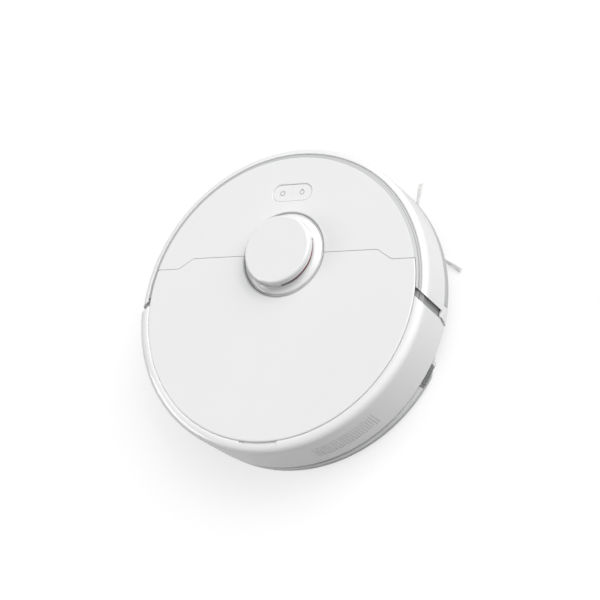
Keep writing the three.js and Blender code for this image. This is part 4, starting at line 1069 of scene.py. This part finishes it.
# ---- CAD nodes that stay, with their finishes ----
CARRIED = {
    CHASSIS: ("chassis", "lidar_base", "bin_cover", "filter_frame", "battery_cover"),
    BLACK: (
        *("fan_housing", "fan_cover", "left_drive_arm", "right_drive_arm", "caster_fork"),
        *("brush_housing", "brush_motor", "brush_guard", "side_brush_motor"),
    ),
    SOFT_GREY: ("upper_tray", "bin_handle", "lidar_pulley", "fan_impeller"),
    STEEL: (
        *("left_lid_pin", "right_lid_pin", "lidar_motor", "fan_motor", "caster_axle"),
        *("left_arm_pin", "right_arm_pin", "left_arm_spring", "right_arm_spring"),
    ),
    SOFT_RUBBER: ("lidar_belt", "bin_flap"),
    CONTACT: ("left_charge_contact", "right_charge_contact"),
    WINDOW: ("lidar_window",),
    BIN: ("dust_bin",),
    BOARD: ("main_board",),
    PAPER: ("hepa_filter",),
    WRAP: ("battery_pack",),
}


def light_wall(o):
    """The chassis's outer wall, seen through the side slots, is painted the slots' grey as painted shade; the
    rest of the chassis is dark.
    """
    o.data.materials.append(SLOT_SHADE_GREY)
    for face in o.data.polygons:
        if from_axis(face) > 160.5 and face.center.z / MM > 20.8:
            face.material_index = 1


def carried_over():
    """Gives the CAD nodes that stay their materials, with creases at their sharp edges."""
    for material, names in CARRIED.items():
        for name in names:
            o = NODES[name]
            o.data.materials.clear()
            o.data.materials.append(material)
            for face in o.data.polygons:
                face.use_smooth = True
                face.material_index = 0
            if name == "chassis":
                light_wall(o)
            weld = o.modifiers.new("weld", "WELD")
            weld.merge_threshold = 1e-5
            split = o.modifiers.new("creases", "EDGE_SPLIT")
            split.split_angle = math.radians(32)
            o.modifiers.new("normals", "WEIGHTED_NORMAL")


# ---- Stage ----
def pale_floor():
    """A lit table: a plain pale sheet that glows a little, so shadows on it stay faint."""
    look = Look("floor")
    tone = look.mix(look.ranged(look.noise(3, 2.0), 0.0, 1.0), (0.29, 0.29, 0.29), (0.31, 0.31, 0.31))
    look.shader.inputs["Emission Color"].default_value = (1, 1, 1, 1)
    seen = look.node("ShaderNodeLightPath").outputs["Is Camera Ray"]
    look.link(look.ranged(seen, 0.39, 0.70, 0.0, 1.0), look.shader.inputs["Emission Strength"])
    look.set(shine=0.1)
    floor = slab([(-9000, -9000), (9000, -9000), (9000, 9000), (-9000, 9000)], -30, -0.6)
    floor.name = "floor"
    floor.data.materials.append(look.done(tone, 0.9))


def studio_light():
    """One broad soft light from the front right, with a low panel that edges the left side."""
    key_way = Vector((-0.50, -0.40, 0.77)).normalized()
    world = bpy.data.worlds.new("studio")
    bpy.context.scene.world = world
    world.use_nodes = True
    tree = world.node_tree
    back = tree.nodes["Background"]
    place = tree.nodes.new("ShaderNodeTexCoord")
    towards = tree.nodes.new("ShaderNodeVectorMath")
    towards.operation = "DOT_PRODUCT"
    towards.inputs[1].default_value = key_way
    ramp = tree.nodes.new("ShaderNodeMapRange")
    ramp.inputs["From Min"].default_value = 0.55
    ramp.inputs["From Max"].default_value = 1.0
    ramp.inputs["To Min"].default_value = 0.05
    ramp.inputs["To Max"].default_value = 2.22
    tree.links.new(place.outputs["Generated"], towards.inputs[0])
    tree.links.new(towards.outputs["Value"], ramp.inputs["Value"])
    # Where a level view looks past the floor, the background is as pale as the floor.
    seen = tree.nodes.new("ShaderNodeLightPath")
    glow = tree.nodes.new("ShaderNodeMix")
    glow.inputs["B"].default_value = 0.93
    tree.links.new(seen.outputs["Is Camera Ray"], glow.inputs["Factor"])
    tree.links.new(ramp.outputs["Result"], glow.inputs["A"])
    tree.links.new(glow.outputs["Result"], back.inputs["Strength"])
    back.inputs["Color"].default_value = (1, 1, 1, 1)
    for name, place, size, power in (
        ("key", key_way * 3, (1.8, 1.8), 32.5),
        ("left_panel", Vector((2.0, 0.5, 1.2)), (1.2, 1.0), 17),
    ):
        data = bpy.data.lights.new(name, "AREA")
        data.shape = "RECTANGLE"
        data.size, data.size_y = size
        data.energy = power
        lamp = bpy.data.objects.new(name, data)
        lamp.location = place
        lamp.rotation_euler = place.to_track_quat("Z", "Y").to_euler()
        bpy.context.scene.collection.objects.link(lamp)


def camera():
    azimuth, elevation, roll = (math.radians(v) for v in (-123.0, 55.548, -54.022))
    target = Vector((-8.219, -7.805, 45.0)) * MM
    distance = 2.256
    back = Vector(
        (
            math.sin(azimuth) * math.cos(elevation),
            -math.cos(azimuth) * math.cos(elevation),
            math.sin(elevation),
        )
    )
    level = Vector((math.cos(azimuth), math.sin(azimuth), 0))
    up = back.cross(level)
    right = math.cos(roll) * level + math.sin(roll) * up
    top = math.cos(roll) * up - math.sin(roll) * level
    data = bpy.data.cameras.new("camera")
    data.sensor_width = 36
    data.lens = 124.06
    data.clip_start = 0.05
    data.clip_end = 60
    made = bpy.data.objects.new("camera", data)
    turn = Matrix((right, top, back)).transposed().to_4x4()
    made.matrix_world = Matrix.Translation(target + back * distance) @ turn
    bpy.context.scene.collection.objects.link(made)
    bpy.context.scene.camera = made


def render_settings():
    scene = bpy.context.scene
    scene.view_settings.view_transform = "Standard"
    scene.view_settings.look = "None"
    scene.view_settings.exposure = 0.0
    scene.cycles.max_bounces = 8
    scene.cycles.transmission_bounces = 6
    scene.cycles.use_denoising = True


deck_shell()
lid_shell()
lid_lining()
housing_shell()
bumper_shell()
buttons()
turret()
lidar()
mop_module()
mop_cloth()
side_brush()
main_brush()
for wheel_side, wheel_word in ((1, "left"), (-1, "right")):
    tyre(wheel_side, wheel_word)
    hub(wheel_side, wheel_word)
caster_wheel()
fittings()
carried_over()
pale_floor()
studio_light()
camera()
render_settings()
